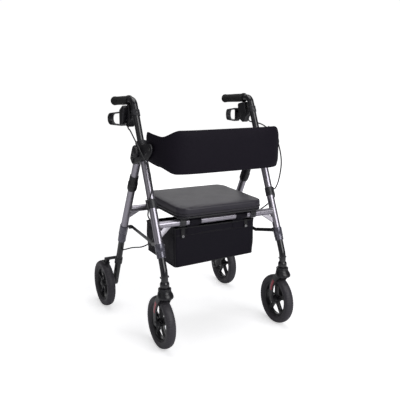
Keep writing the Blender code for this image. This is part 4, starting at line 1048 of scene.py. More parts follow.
    def rear_lower_tubes(self) -> None:
        """Black lower tubes with the bosses of the rear axles."""
        step = rear_leg_point(self.rear_foot)
        path = bent_path([rear_leg_point(self.rear_foot + self.plug), REAR_CORNER, REAR_FOOT],
                         self.rear_bend, 12)
        lower = tube(path, LOWER_RADIUS, sides=14)
        axle = Vector((FRAME_X, REAR_AXLE_Y, AXLE_Z))
        web = hull_plate(around(axle, (0, 0, 0.012)) + around(REAR_FOOT, (0, 0, 0.0115)), 0.0085, 0.0022)
        boss = along_x(axle, FRAME_X - BOSS_INNER, FRAME_X + BOSS_OUTER, 0.0135, 0.0012)
        lower = drilled(combined(lower, [web, boss], "UNION"), axle, AXLE_BORE)
        dress_pair(lower, "rear_lower_tube", BLACK_PAINT, "rear_frame", "rear_lower_leg", smooth=40)
        sleeve = self.sleeve(step, REAR_UP, LOWER_DOWN, *self.rear_sleeve)
        dress_pair(sleeve, "rear_sleeve", SLEEVE, "rear_frame")
        pin = self.stay_pin(Vector((0, *STAY_REAR)), 0.2231)
        dress_pair(pin, "rear_stay_pin", PLASTIC, "rear_frame")

    def collars(self) -> None:
        """Stepped black collars half way up the rear legs."""
        bore = LEG_RADIUS + GAP
        collar = turned([(bore, 0.066), (0.0157, 0.066), (0.0164, 0.0652), (0.0171, 0.0375), (0.0178, 0.0350),
                         (0.0186, 0.0338), (0.0186, 0.0260), (0.0180, 0.0252), (0.0180, 0.0236),
                         (0.0186, 0.0228), (0.0186, 0.0085), (0.0178, 0.0045), (0.0166, 0.0002),
                         (0.0158, 0.0), (bore, 0.0)], rear_leg_point(self.collar_rise), REAR_UP)
        dress_pair(collar, "rear_clamp_collar", PLASTIC, "rear_frame", "rear_collar")

    @staticmethod
    def clips() -> None:
        """Clips that hold the brake cables on the front legs."""
        low, high = leg_point(0.261), leg_point(0.291)
        channel = LEFT * 0.0182
        reach = LEG_UP * 0.01
        clip = straight(low, high, 0.0160, 0.0007)
        clip = combined(clip, [straight(low + channel, high + channel, 0.0042, 0.0006, 24)], "UNION")
        clip = combined(clip, [straight(low - reach, high + reach, LEG_RADIUS + GAP),
                               straight(low + channel - reach, high + channel + reach, 0.0028, 0.0002, 24)],
                        "DIFFERENCE")
        dress_pair(clip, "cable_holder", PLASTIC, "frame", "cable_clip")

    @staticmethod
    def button_point() -> Vector:
        """Centre of the left release button's cross hole."""
        return Vector((FRAME_X, STEM_Y + 0.0006, FRAME_Z + 0.0385))

    def buttons(self) -> None:
        """Release buttons of the casters, a pin with a head on each side of the tube."""
        half = self.button_half
        section = both_ways([(0.0, half), (0.0020, half), (0.0032, half - 0.0006), (0.0038, half - 0.0018)])
        dress_pair(turned(section, self.button_point(), LEFT, 32), "caster_button", DARK_BOLT,
                   "release_button", "release_button")


# Hubs


@dataclass
class Hubs:
    """Moulded hubs with their tongues, hinge bolts and height knobs."""

    half: float = 0.0215
    low_rise: float = 0.418
    top_rise: float = 0.484
    band_face: float = 0.2556
    ribs: int = 20
    knob_lobes: int = 6

    def build(self) -> None:
        """Model the hubs and what turns in them."""
        self.bodies()
        self.lobe_ribs()
        self.tongues()
        self.hinge_bolts()
        self.knobs()

    def bodies(self) -> None:
        """The hubs, with room for the legs, the handle tube and the swing of the rear leg."""
        low, high = leg_point(self.low_rise), leg_point(self.top_rise) + LEG_UP * 0.003
        bulge = (PIVOT + KNOB) / 2 + Vector((0, 0.006, 0.008))
        circles = (around(PIVOT, (0, 0, 0.0235)) + around(bulge, (0, 0, 0.027))
                   + around(KNOB, (0, 0, 0.0205)) + around(low, (0, 0.018, 0.0185)))
        outline = hull_outline(circles, 40)
        hub = side_plate(outline, FRAME_X - self.half, FRAME_X + self.half, 0.0042, 4)
        length = (high - low).length
        clamp = turned([(0.0, length), (0.0178, length), (0.0196, length - 0.0010),
                        (0.0205, length - 0.0034), (0.0205, 0.0034), (0.0196, 0.0010), (0.0178, 0.0),
                        (0.0, 0.0)], low, LEG_UP)
        hub = combined(hub, [clamp], "UNION")
        spaces = [straight(leg_point(0.38), leg_point(self.top_rise) + LEG_UP * GAP, LEG_RADIUS + GAP),
                  straight(leg_point(0.40), leg_point(0.56), LOWER_RADIUS + GAP),
                  self.swing_space(),
                  along_x(PIVOT, FRAME_X - 0.05, FRAME_X + 0.05, 0.0043),
                  along_x(KNOB, FRAME_X, FRAME_X + 0.05, 0.0043)]
        hub = combined(hub, spaces, "DIFFERENCE")
        dress_pair(hub, "hub_shell", PLASTIC, "frame", "hub", smooth=32)

    @staticmethod
    def swing_space() -> bpy.types.Object:
        """Space that the rear leg's head sweeps while the frame folds."""
        room = LEG_RADIUS + 0.0040
        half = LEG_RADIUS + 0.0018
        folded = Matrix.Rotation(-math.radians(25), 3, "X") @ -REAR_UP
        circles = around(PIVOT, (0, 0, room))
        for direction in (-REAR_UP, folded):
            circles += around(PIVOT + direction * 0.07, (0, 0, room))
        return hull_plate(circles, half)

    def lobe_ribs(self) -> None:
        """Moulded ribs round the hinge bolt, on both faces of the lobe."""
        pieces = []
        for face in (FRAME_X - self.half, FRAME_X + self.half):
            centre = at_x(PIVOT, face)
            for i in range(self.ribs):
                out = Matrix.Rotation(2 * math.pi * i / self.ribs, 3, "X") @ BACK
                pieces.append(bar(centre + out * 0.0098, centre + out * 0.0186, LEFT, 0.0018, 0.0014, 0.0004))
        dress_pair(grouped(pieces), "hub_ribs", PLASTIC, "frame")

    def tongues(self) -> None:
        """Tongues that hold the ends of the back band, each with two rivets."""
        x = self.band_face + GAP
        circles = around(KNOB, (-0.005, 0.008, 0.018), (-0.094, 0.020, 0.018), (-0.070, -0.002, 0.018))
        tongue = side_plate(hull_outline(circles), x, x + 0.005, 0.0014)
        rivets = [dome(Vector((x + 0.005, KNOB.y + y, KNOB.z + z)), LEFT, 0.0055, 0.0020)
                  for y, z in ((-0.062, 0.002), (-0.094, 0.020))]
        dress_pair(tongue, "back_tongue", PLASTIC, "frame")
        dress_pair(grouped(rivets), "back_rivets", DARK_BOLT, "frame")

    def hinge_bolts(self) -> None:
        """Hinge bolts with a capped head on each side of the hub."""
        half = self.half + GAP
        head = [(0.0, half + 0.0070), (0.0046, half + 0.0070), (0.0066, half + 0.0060),
                (0.0070, half + 0.0048), (0.0080, half + 0.0032), (0.0080, half), (0.0040, half)]
        dress_pair(turned(both_ways(head), PIVOT, LEFT, 40), "hub_bolt", DARK_BOLT, "frame", "hinge_bolt")

    def knobs(self) -> None:
        """Lobed hand knobs that clamp the height of the handles."""
        face = KNOB.x + self.half + 2 * GAP
        outline = []
        for i in range(72):
            angle = 2 * math.pi * i / 72
            radius = 0.0193 + 0.0015 * math.cos(self.knob_lobes * angle)
            outline.append(Vector((KNOB.y + radius * math.cos(angle), KNOB.z + radius * math.sin(angle))))
        grip = side_plate(outline, face, face + 0.012, 0.0030, 4)
        cap = turned([(0.0, 0.0130), (0.0098, 0.0130), (0.0110, 0.0122), (0.0110, 0.0100), (0.0, 0.0100)],
                     at_x(KNOB, face), LEFT)
        shank = along_x(KNOB, FRAME_X + LOWER_RADIUS + GAP, face + 0.004, 0.0040)
        dress_pair(grouped([grip, cap, shank]), "clamp_knob", PLASTIC, "height_knob", "height_knob")


# Wheels and casters


@dataclass
class Wheels:
    """Tyres with a cut tread, and five-spoke rims."""

    radius: float = 0.095
    rim_radius: float = 0.0665
    tyre_half: float = 0.0168
    front_hub_half: float = 0.0192
    rear_hub_half: float = 0.0135
    spokes: int = 5
    tread_blocks: int = 60

    def build(self) -> None:
        """Model the four wheels and their axle bolts."""
        self.wheel("front", Vector((FRAME_X, FRONT_AXLE_Y, AXLE_Z)), self.front_hub_half)
        self.wheel("rear", Vector((REAR_WHEEL_X, REAR_AXLE_Y, AXLE_Z)), self.rear_hub_half)
        self.rear_axles()

    def wheel(self, name: str, centre: Vector, hub_half: float) -> None:
        """A tyre and its rim.

        Args:
            name: front or rear.
            centre: The wheel's centre.
            hub_half: Half the length of its hub.
        """
        body = name + "_wheel"
        dress_pair(self.tyre(centre), name + "_tread", TYRE_RUBBER, body, name + "_tyre", smooth=42)
        dress_pair(self.rim(centre, hub_half), name + "_wheel_rim", GLOSS_PLASTIC, body, name + "_rim")

    def tyre(self, centre: Vector) -> bpy.types.Object:
        """A tyre whose tread is cut by cross grooves, set off between its two shoulders."""
        low, high = self.rim_radius + GAP, self.radius
        side = [(low, 0.58), (low + 0.0016, 0.74), (low + 0.0050, 0.90), (low + 0.0100, 0.97),
                (low + 0.0150, 1.0), (low + 0.0190, 0.985), (low + 0.0220, 0.93), (low + 0.0245, 0.83),
                (high - 0.0026, 0.70), (high - 0.0012, 0.52), (high - 0.0003, 0.32), (high, 0.10)]
        section = both_ways([(radius, self.tyre_half * share) for radius, share in side])
        steps = self.tread_blocks * 4
        tyre = turned(section, centre, LEFT, steps)
        for vertex in tyre.data.vertices:
            arm = vertex.co - centre
            distance = math.hypot(arm.y, arm.z)
            if distance > high - 0.0065 and abs(arm.x) > 0.002:
                step = round(math.atan2(arm.z, arm.y) / (2 * math.pi) * steps)
                if (step + (2 if arm.x > 0 else 0)) % 4 == 0:
                    vertex.co -= Vector((0, arm.y, arm.z)) * (0.0013 / distance)
        return tyre

    def rim(self, centre: Vector, hub_half: float) -> bpy.types.Object:
        """A moulded rim: a lipped ring, five ribbed spokes and a stepped hub."""
        edge = self.rim_radius
        lip = [(edge, 0.0105), (edge - 0.0012, 0.0116), (edge - 0.0030, 0.0116), (edge - 0.0048, 0.0100),
               (edge - 0.0066, 0.0070), (edge - 0.0074, 0.0020)]
        ring = turned(both_ways(lip), centre, LEFT, 120)
        hub = turned([(AXLE_BORE, hub_half), (0.0105, hub_half), (0.0118, hub_half - 0.0012),
                      (0.0122, hub_half - 0.0040), (0.0155, hub_half - 0.0058), (0.0158, 0.0),
                      (0.0155, 0.0058 - hub_half), (0.0122, 0.0040 - hub_half),
                      (0.0118, 0.0012 - hub_half), (0.0105, -hub_half), (AXLE_BORE, -hub_half)],
                     centre, LEFT, 60)
        pieces = [ring, hub]
        for i in range(self.spokes):
            spoke = self.spoke()
            turn = Matrix.Rotation(2 * math.pi * i / self.spokes, 4, "X")
            spoke.data.transform(Matrix.Translation(centre) @ turn)
            pieces.append(spoke)
        return grouped(pieces)

    def spoke(self) -> bpy.types.Object:
        """One spoke that points up from the origin, waisted and with a pocket in each face."""
        start, end, half = 0.0125, self.rim_radius - 0.0060, 0.0062
        widths = ((start, 0.0088), (start + 0.012, 0.0072), (start + 0.028, 0.0066), (end, 0.0080))
        outline = [Vector((-width, z)) for z, width in widths]
        outline += [Vector((width, z)) for z, width in widths[::-1]]
        spoke = side_plate(outline, -half, half, 0.0018)
        pocket = [Vector((-width + 0.0030, z)) for z, width in widths[1:3]]
        pocket += [Vector((width - 0.0030, z + 0.008)) for z, width in widths[1:3][::-1]]
        pocket[1].y += 0.008
        pocket[3].y -= 0.008
        cutters = [side_plate(pocket, low, low + 0.006) for low in (half - 0.0018, -half + 0.0018 - 0.006)]
        return combined(spoke, cutters, "DIFFERENCE")

    def rear_axles(self) -> None:
        """Rear axle bolts with their spacers and domed ends."""
        start = FRAME_X - BOSS_INNER - GAP
        end = REAR_WHEEL_X + self.rear_hub_half + GAP - start
        spacer = FRAME_X + BOSS_OUTER + GAP - start
        wheel = REAR_WHEEL_X - self.rear_hub_half - GAP - start
        section = [(0.0, end + 0.0030), (0.0050, end + 0.0028), (0.0076, end + 0.0016), (0.0085, end),
                   (0.0050, end), (0.0050, wheel), (0.0085, wheel), (0.0085, spacer), (0.0050, spacer),
                   (0.0050, 0.0), (0.0075, 0.0), (0.0072, -0.0032), (0.0058, -0.0043), (0.0, -0.0048)]
        axle = turned(section, Vector((start, REAR_AXLE_Y, AXLE_Z)), LEFT, 36)
        dress_pair(axle, "rear_axle_bolt", DARK_BOLT, "rear_frame", "rear_axle")


@dataclass
class Casters:
    """Caster forks with bowed arms, red inserts and axle bolts."""

    arm_inner: float = 0.0195
    arm_outer: float = 0.0245
    crown_shift: float = 0.006

    def build(self) -> None:
        """Model both casters."""
        self.forks()
        self.inserts()
        self.axles()

    @staticmethod
    def arm_line(share: float) -> Vector:
        """Point on the middle line of a fork arm, in the side plane."""
        top = Vector((STEM_Y - 0.006, CROWN_Z + 0.008))
        bow = Vector((FRONT_AXLE_Y + 0.022, AXLE_Z + 0.058))
        axle = Vector((FRONT_AXLE_Y, AXLE_Z))
        return top * (1 - share) ** 2 + bow * 2 * share * (1 - share) + axle * share ** 2

    def strip(self, first: float, last: float, widths: tuple[float, float], steps: int = 16) -> list[Vector]:
        """Outline of a strip along a fork arm.

        Args:
            first: Share of the arm where the strip starts.
            last: Share where it ends.
            widths: Width at its start and at its end.
            steps: Steps along it.

        Returns:
            The outline's points.
        """
        sides = ([], [])
        for i in range(steps + 1):
            share = first + (last - first) * i / steps
            point = self.arm_line(share)
            along = (self.arm_line(share + 0.01) - self.arm_line(share - 0.01)).normalized()
            width = widths[0] + (widths[1] - widths[0]) * i / steps
            normal = Vector((-along.y, along.x)) * width / 2
            sides[0].append(point + normal)
            sides[1].append(point - normal)
        end = self.arm_line(last)
        heading = math.atan2(along.y, along.x)
        cap = []
        for i in range(1, 12):
            angle = heading + math.pi / 2 - math.pi * i / 12
            cap.append(end + Vector((math.cos(angle), math.sin(angle))) * widths[1] / 2)
        return sides[0] + cap + sides[1][::-1]

    def forks(self) -> None:
        """Forks: a domed crown on a stem, and two arms that bow back to the axle."""
        foot = Vector((FRAME_X, STEM_Y, CROWN_Z))
        crown = turned([(0.0, 0.0345), (0.0206, 0.0345), (0.0224, 0.0338), (0.0231, 0.0322),
                        (0.0229, 0.0302), (0.0217, 0.0290), (0.0215, 0.0280), (0.0224, 0.0271),
                        (0.0229, 0.0256), (0.0226, 0.0238), (0.0232, 0.0222), (0.0252, 0.0182),
                        (0.0270, 0.0134), (0.0281, 0.0085), (0.0284, 0.0048), (0.0278, 0.0016),
                        (0.0262, 0.0), (0.0, 0.0)], foot, UP, 64)
        for vertex in crown.data.vertices:
            share = clamped((0.0238 - (vertex.co.z - CROWN_Z)) / 0.0180)
            vertex.co.y -= self.crown_shift * eased(share)
        outline = self.strip(0.0, 1.0, (0.026, 0.023))
        arms = [side_plate(outline, FRAME_X + low, FRAME_X + high, 0.0015)
                for low, high in ((self.arm_inner, self.arm_outer), (-self.arm_outer, -self.arm_inner))]
        stem = straight(foot + UP * 0.01, foot + UP * (0.0351 + 0.0257), 0.0060)
        axle = Vector((FRAME_X, FRONT_AXLE_Y, AXLE_Z))
        fork = drilled(combined(crown, [stem] + arms, "UNION"), axle, AXLE_BORE)
        dress_pair(fork, "caster_crown", GLOSS_PLASTIC, "caster", "caster_fork", smooth=32)

    def inserts(self) -> None:
        """Red strips let into the outer faces of the arms."""
        outline = self.strip(0.28, 0.64, (0.0125, 0.0110))
        strips = [side_plate(outline, FRAME_X + low, FRAME_X + low + 0.0016, 0.0004, 2)
                  for low in (self.arm_outer - 0.0010, -self.arm_outer - 0.0006)]
        dress_pair(grouped(strips), "caster_insert", RED, "caster")

    def axles(self) -> None:
        """Axle bolts of the casters."""
        half = self.arm_outer + GAP
        head = [(0.0, half + 0.0030), (0.0056, half + 0.0030), (0.0078, half + 0.0020), (0.0085, half),
                (0.0050, half)]
        axle = turned(both_ways(head), Vector((FRAME_X, FRONT_AXLE_Y, AXLE_Z)), LEFT, 36)
        dress_pair(axle, "caster_axle_bolt", DARK_BOLT, "caster", "caster_axle")


# Handles and brakes


@dataclass
class Handles:
    """Bent handle tubes with ribbed rubber grips."""

    foot_rise: float = 0.268
    grip_length: float = 0.157
    grip_radius: float = 0.016
    bend: float = 0.029

    def build(self) -> None:
        """Model both handles."""
        foot = leg_point(self.foot_rise)
        corner = lines_cross(foot, LEG_UP, GRIP_END, GRIP_BACK)
        path = bent_path([foot, corner, GRIP_END - GRIP_BACK * 0.0053], self.bend, 24)
        dress_pair(tube(path, LOWER_RADIUS, sides=16), "handle_pipe", BLACK_PAINT, "handle", "handle_tube")
        dress_pair(self.grip(), "handle_grip", GRIP_RUBBER, "handle", "grip")

    def grip(self) -> bpy.types.Object:
        """A closed grip with a front flange, ring grooves and a rounded end."""
        length, radius, bore = self.grip_length, self.grip_radius, LOWER_RADIUS + GAP
        section = [(0.0, length), (radius - 0.0050, length - 0.0002), (radius - 0.0012, length - 0.0014),
                   (radius + 0.0012, length - 0.0040), (radius + 0.0012, length - 0.0078),
                   (radius - 0.0002, length - 0.0100)]
        groove = length - 0.0130
        while groove > 0.085:
            section += [(radius, groove + 0.0016), (radius - 0.0007, groove + 0.0009),
                        (radius - 0.0007, groove - 0.0003), (radius, groove - 0.0010)]
            groove -= 0.0052
        section += [(radius + 0.0003, 0.0780), (radius + 0.0004, 0.0500), (radius, 0.0140),
                    (radius + 0.0004, 0.0100), (radius + 0.0021, 0.0072), (radius + 0.0025, 0.0050),
                    (radius + 0.0022, 0.0014), (radius + 0.0010, 0.0), (bore, 0.0),
                    (bore, length - 0.005), (0.0, length - 0.005)]
        return turned(section, GRIP_END - GRIP_BACK * length, GRIP_BACK, 64)


@dataclass
class Brakes:
    """Brake housings, looped levers, and the brackets and shoes at the rear wheels."""

    housing_half: float = 0.0135
    clamp_rise: float = 0.5825
    lever_front: float = 0.046
    lever_back: float = 0.155
    case_depth: float = 0.016
    flare: float = 0.020
    strap_half: float = 0.0115
    strap_thickness: float = 0.0045
    shoe_inner: float = REAR_WHEEL_X - 0.013
    shoe_outer: float = REAR_WHEEL_X + 0.0115
    shoe_low: float = 0.098
    shoe_high: float = 0.1035
    barrel: float = 0.0065

    def build(self) -> None:
        """Model both brakes."""
        self.housings()
        self.housing_metal()
        self.levers()
        self.brackets()
        self.shoes()

    def housings(self) -> None:
        """Housings with a clamp, an outer case and a slot for the lever."""
        pivot, clamp = LEVER_PIVOT, leg_point(self.clamp_rise)
        body = hull_plate(around(pivot, (0.018, 0.040, 0.009), (-0.014, 0.046, 0.009), (-0.026, 0.008, 0.009),
                                 (-0.010, -0.017, 0.008), (0.006, -0.009, 0.008)),
                          self.housing_half, 0.0042, 5)
        outer = hull_outline(around(pivot, (0.020, 0.030, 0.009), (-0.006, 0.044, 0.009),
                                    (0.021, -0.013, 0.008), (0.007, -0.011, 0.007)))
        face = FRAME_X + self.housing_half
        case = side_plate(outer, face - 0.001, face + self.case_depth, 0.0034, 4)
        arm = hull_plate(around(clamp, (0, 0, 0.011)) + around(pivot, (-0.020, 0.006, 0.013)), 0.0095, 0.0015)
        ring = straight(clamp - LEG_UP * 0.012, clamp + LEG_UP * 0.012, 0.0148, 0.0010)
        along = ADJUSTER_END - ADJUSTER_TOP
        boss = straight(ADJUSTER_TOP + along * 0.25, ADJUSTER_TOP + along * 0.75, 0.0060, 0.0008)
        slot_low = Vector((FRAME_X - 0.0086, pivot.y - 0.010, pivot.z - 0.05))
        slot_high = Vector((FRAME_X + 0.0086, pivot.y + 0.06, pivot.z + 0.0265))
        bpy.ops.mesh.primitive_cube_add(size=1.0, location=(0, 0, 0))
        slot = bpy.context.object
        slot.data.transform(Matrix.Translation((slot_low + slot_high) / 2)
                            @ Matrix.Diagonal((*(slot_high - slot_low), 1.0)))
        housing = combined(body, [arm, ring, case, boss], "UNION")
        housing = combined(housing, [straight(clamp - LEG_UP * 0.03, clamp + LEG_UP * 0.03,
                                              LOWER_RADIUS + GAP), slot], "DIFFERENCE")
        dress_pair(housing, "lever_housing", PLASTIC, "handle", "brake_housing", smooth=32)

    def housing_metal(self) -> None:
        """Screws of the housings, the lever's pin and the cable adjuster."""
        pivot, clamp = LEVER_PIVOT, leg_point(self.clamp_rise)
        along = ADJUSTER_END - ADJUSTER_TOP
        forward = LEFT.cross(LEG_UP)
        metal = [along_x(pivot, pivot.x - 0.0130, pivot.x + 0.0130, 0.0030)]
        for side in (-1, 1):
            metal.append(dome(pivot + LEFT * side * 0.0134, LEFT * side, 0.0050, 0.0020))
            face = clamp + LEG_UP * side * 0.0065 + forward * 0.0145
            metal.append(dome(face, forward, 0.0033, 0.0022))
        dress_pair(grouped(metal), "housing_screws", DARK_BOLT, "handle")
        barrel = [straight(ADJUSTER_TOP - along * 0.1, ADJUSTER_END, 0.0036, 0.0006, 24),
                  straight(ADJUSTER_TOP + along * 0.78, ADJUSTER_TOP + along * 0.98, 0.0048, 0.0005, 6)]
        dress_pair(grouped(barrel), "cable_adjuster", ZINC, "handle")

    def loop(self, inset: float) -> list[Vector]:
        """Outline of the lever's loop, moved inwards by an inset."""
        pivot = LEVER_PIVOT
        corner = 0.012 - inset * 0.6
        front = pivot.y + self.lever_front + inset + corner
        back = pivot.y + self.lever_back - 0.021
        return hull_outline([(front, pivot.z + 0.0275 - inset - corner, corner),
                             (front, pivot.z - 0.0265 + inset + corner, corner),
                             (back, pivot.z - 0.0065, 0.021 - inset),
                             (back, pivot.z - 0.0025, 0.021 - inset)], 48)

    def levers(self) -> None:
        """Looped levers that flare outwards behind the housing."""
        pivot = LEVER_PIVOT
        lever = side_plate(self.loop(0.0), FRAME_X - self.strap_half, FRAME_X + self.strap_half, 0.0013)
        inside = side_plate(self.loop(self.strap_thickness), FRAME_X - 0.02, FRAME_X + 0.02)
        lever = combined(lever, [inside], "DIFFERENCE")
        neck_end = pivot.y + self.lever_front + 0.0015
        neck = hull_plate([(pivot.y, pivot.z, 0.0085), (neck_end, pivot.z + 0.008, 0.0012),
                           (neck_end, pivot.z - 0.012, 0.0012)], 0.008, 0.0014)
        lever = drilled(combined(lever, [neck], "UNION"), pivot, 0.0032, 0.03)
        for vertex in lever.data.vertices:
            share = clamped((vertex.co.y - neck_end - 0.003) / (self.lever_back - self.lever_front))
            vertex.co.x += self.flare * share ** 1.3
        dress_pair(lever, "loop_lever", PLASTIC, "brake_lever", "brake_lever", smooth=32)

    def brackets(self) -> None:
        """Collars low on the rear legs, each with the pin of a brake shoe."""
        pivot = SHOE_PIVOT
        centre = REAR_CORNER + LOWER_DOWN * (pivot - REAR_CORNER).dot(LOWER_DOWN)
        half = LOWER_DOWN * 0.014
        ring = straight(centre - half, centre + half, 0.0157, 0.0010)
        ear = hull_plate(around(pivot, (0, 0, self.barrel)) + around(centre, (0, 0, 0.010)), 0.007, 0.0012)
        boss = along_x(pivot, FRAME_X - 0.0068, self.shoe_inner - GAP, self.barrel)
        bracket = combined(ring, [ear, boss], "UNION")
        bracket = combined(bracket, [straight(centre - LOWER_DOWN * 0.03, centre + LOWER_DOWN * 0.03,
                                              LOWER_RADIUS + GAP)], "DIFFERENCE")
        dress_pair(bracket, "shoe_bracket", PLASTIC, "rear_frame", "brake_bracket")
        pin = along_x(pivot, FRAME_X + 0.020, self.shoe_outer + GAP + 0.0005, 0.0030)
        head = dome(at_x(pivot, self.shoe_outer + GAP), LEFT, RIVET_RADIUS, 0.0016)
        dress_pair(grouped([pin, head]), "shoe_pin", DARK_BOLT, "rear_frame")

    def shoes(self) -> None:
        """Pivoted shoes whose curved pads stand just above the rear tyres."""
        pivot = SHOE_PIVOT

        def on_arc(radius: float, angle: float) -> tuple[float, float]:
            """The (y, z) place at a radius and an angle from the rear axle."""
            return REAR_AXLE_Y + radius * math.cos(angle), AXLE_Z + radius * math.sin(angle)

        arc = [math.radians(94 + 17.5 * i / 20) for i in range(21)]
        outline = [Vector(on_arc(self.shoe_high, angle)) for angle in arc]
        outline += [Vector(on_arc(self.shoe_low, angle)) for angle in arc[::-1]]
        pad = side_plate(outline, self.shoe_inner, self.shoe_outer, 0.0008)
        back = (self.shoe_low + self.shoe_high) / 2 + 0.001
        tips = [(*on_arc(back, angle), 0.0025) for angle in (arc[4], arc[16])]
        arm = side_plate(hull_outline(around(pivot, (0, 0, self.barrel)) + tips), self.shoe_inner + 0.004,
                         self.shoe_outer - 0.006, 0.0010)
        shoe = combined(pad, [arm, along_x(pivot, self.shoe_inner, self.shoe_outer, self.barrel)], "UNION")
        shoe = combined(shoe, [along_x(pivot, FRAME_X, FRAME_X + 0.08, 0.0033)], "DIFFERENCE")
        dress_pair(shoe, "shoe_pad", PLASTIC, "brake_shoe", "brake_shoe")


# Seat


SWELL_FRAMES = 20


def round_rectangle(half: float, low: float, high: float, corner: float, steps: int = 14,
                    sides: int = 0) -> list[Vector]:
    """Outline of a rectangle with round corners.

    Args:
        half: Half its width in x.
        low: Its lowest y.
        high: Its highest y.
        corner: Radius of its corners.
        steps: Steps on each corner.
        sides: Extra points on each straight side.

    Returns:
        The outline's points, counterclockwise.
    """
    centres = [(half - corner, high - corner), (corner - half, high - corner),
               (corner - half, low + corner), (half - corner, low + corner)]
    outline = []
    for quarter, (x, y) in enumerate(centres):
        arc = [Vector((x + corner * math.cos(angle), y + corner * math.sin(angle)))
               for angle in (math.pi / 2 * (quarter + i / steps) for i in range(steps + 1))]
        if outline:
            outline += [outline[-1].lerp(arc[0], i / (sides + 1)) for i in range(1, sides + 1)]
        outline += arc
    first, last = outline[0].copy(), outline[-1].copy()
    outline += [last.lerp(first, i / (sides + 1)) for i in range(1, sides + 1)]
    return outline


def swell(obj: bpy.types.Object, held: list[int], pressure: float, cap: float) -> None:
    """Fill a soft cover by cloth simulation, and apply it.

    Args:
        obj: The closed cover.
        held: Indices of the points that stay where they are.
        pressure: Pressure inside.
        cap: The furthest that a point may move.
    """
    start = [vertex.co.copy() for vertex in obj.data.vertices]
    group = obj.vertex_groups.new(name="held")
    group.add(held, 1.0, "REPLACE")
    select_only(obj)
    cover = obj.modifiers.new("cover", "CLOTH")
    cover.settings.quality = 5
    cover.settings.mass = 0.3
    cover.settings.use_pressure = True
    cover.settings.uniform_pressure_force = pressure
    cover.settings.vertex_group_mass = group.name
    cover.settings.effector_weights.gravity = 0.0
    cover.point_cache.frame_start = 1
    cover.point_cache.frame_end = SWELL_FRAMES
    for number in range(1, SWELL_FRAMES + 1):
        bpy.context.scene.frame_set(number)
    bpy.ops.object.modifier_apply(modifier=cover.name)
    for vertex, place in zip(obj.data.vertices, start):
        move = vertex.co - place
        if move.length > cap:
            vertex.co = place + move * (cap / move.length)
    obj.vertex_groups.clear()
    bpy.context.scene.frame_set(1)


@dataclass
class Seat:
    """Seat board with its clamps, and the upholstered pad with its piping."""

    half_width: float = 0.175
    front: float = 0.044
    back: float = 0.2819
    corner: float = 0.042
    lift: float = 0.0213
    board: float = 0.006
    pad: float = 0.033
    clamp_x: float = 0.146
    saddle_x: float = 0.152
    fuller: float = 0.0040

    def build(self) -> None:
        """Model the seat."""
        self.seat_board()
        self.seat_pad()

    def placed(self, obj: bpy.types.Object) -> bpy.types.Object:
        """Put a piece that was built round the hinge in its place."""
        obj.data.transform(Matrix.Translation(FRONT_TUBE) @ Matrix.Rotation(SEAT_TILT, 4, "X"))
        return obj

    def outline(self, inset: float, sides: int = 0) -> list[Vector]:
        """Outline of the seat, smaller by an inset."""
        return round_rectangle(self.half_width - inset, inset - self.front, self.back - inset,
                               self.corner - inset, 14, sides)

    def seat_board(self) -> None:
        """The board, with hinge clamps round the front tube and saddles on the rear one."""
        board = rounded(slab(self.outline(0.003), self.lift, self.lift + self.board, Matrix.Identity(4)),
                        0.0015)
        span = math.hypot(REAR_TUBE.y - FRONT_TUBE.y, REAR_TUBE.z - FRONT_TUBE.z)
        bore = TUBE_RADIUS + GAP
        for side in (-1, 1):
            middle = Vector((side * self.clamp_x, 0, 0))
            clamp = straight(middle - LEFT * 0.012, middle + LEFT * 0.012, bore + 0.0032, 0.0008)
            foot = middle + Vector((0, 0.001, 0.004))
            post = bar(foot, Vector((foot.x, foot.y, self.lift + 0.002)), LEFT, 0.023, 0.030, 0.0012)
            foot = Vector((side * self.saddle_x, span + 0.00575, -0.003))
            saddle = bar(foot, Vector((foot.x, foot.y, self.lift + 0.002)), LEFT, 0.024, 0.0215, 0.0015)
            board = combined(board, [clamp, post, saddle], "UNION")
        tubes = [straight(Vector((-FRAME_X, y, 0)), Vector((FRAME_X, y, 0)), bore) for y in (0.0, span)]
        board = combined(board, tubes, "DIFFERENCE")
        dress(self.placed(board), "seat_base", PLASTIC, "seat", "seat_board", smooth=32)

    def seat_pad(self) -> None:
        """The pad: a filled cover, flat below, with a welt round its lower edge."""
        base = self.lift + self.board + GAP
        shape = slab(self.outline(0.0008), base, base + self.pad - 0.0008, Matrix.Identity(4))
        shape = rounded(shape, 0.0058, 4, 60)
        modify(shape, "REMESH", mode="VOXEL", voxel_size=0.0048)
        floor = [vertex.index for vertex in shape.data.vertices if vertex.co.z < base + 0.0035]
        swell(shape, floor, 4.0, 0.0014)
        for vertex in shape.data.vertices:
            height = max(0.0, vertex.co.z - base)
            fuller = self.fuller * (vertex.co.y + self.front) / (self.back + self.front)
            vertex.co.z = base + height * (1 + fuller / self.pad)
        groove = base + 0.0095
        modify(shape, "SUBSURF", levels=1, render_levels=1)
        for vertex in shape.data.vertices:
            pinch = math.exp(-((vertex.co.z - groove) / 0.0017) ** 2)
            middle = Vector((0, (self.back - self.front) / 2, vertex.co.z))
            out = vertex.co - middle
            if abs(out.x) > 0.10 or abs(out.y) > 0.10:
                vertex.co -= out.normalized() * 0.0011 * pinch
        pad = dress(self.placed(shape), "seat_cushion", SEAT_SKIN, "seat", "seat_pad", smooth=60)
        outline = self.outline(0.0008, 20)
        welt = tube([Vector((point.x, point.y, groove - 0.0012)) for point in outline], 0.0012, True, 3)
        dress(self.placed(welt), "seat_welt", SEAT_SIDE, "seat", smooth=60)


# Back band


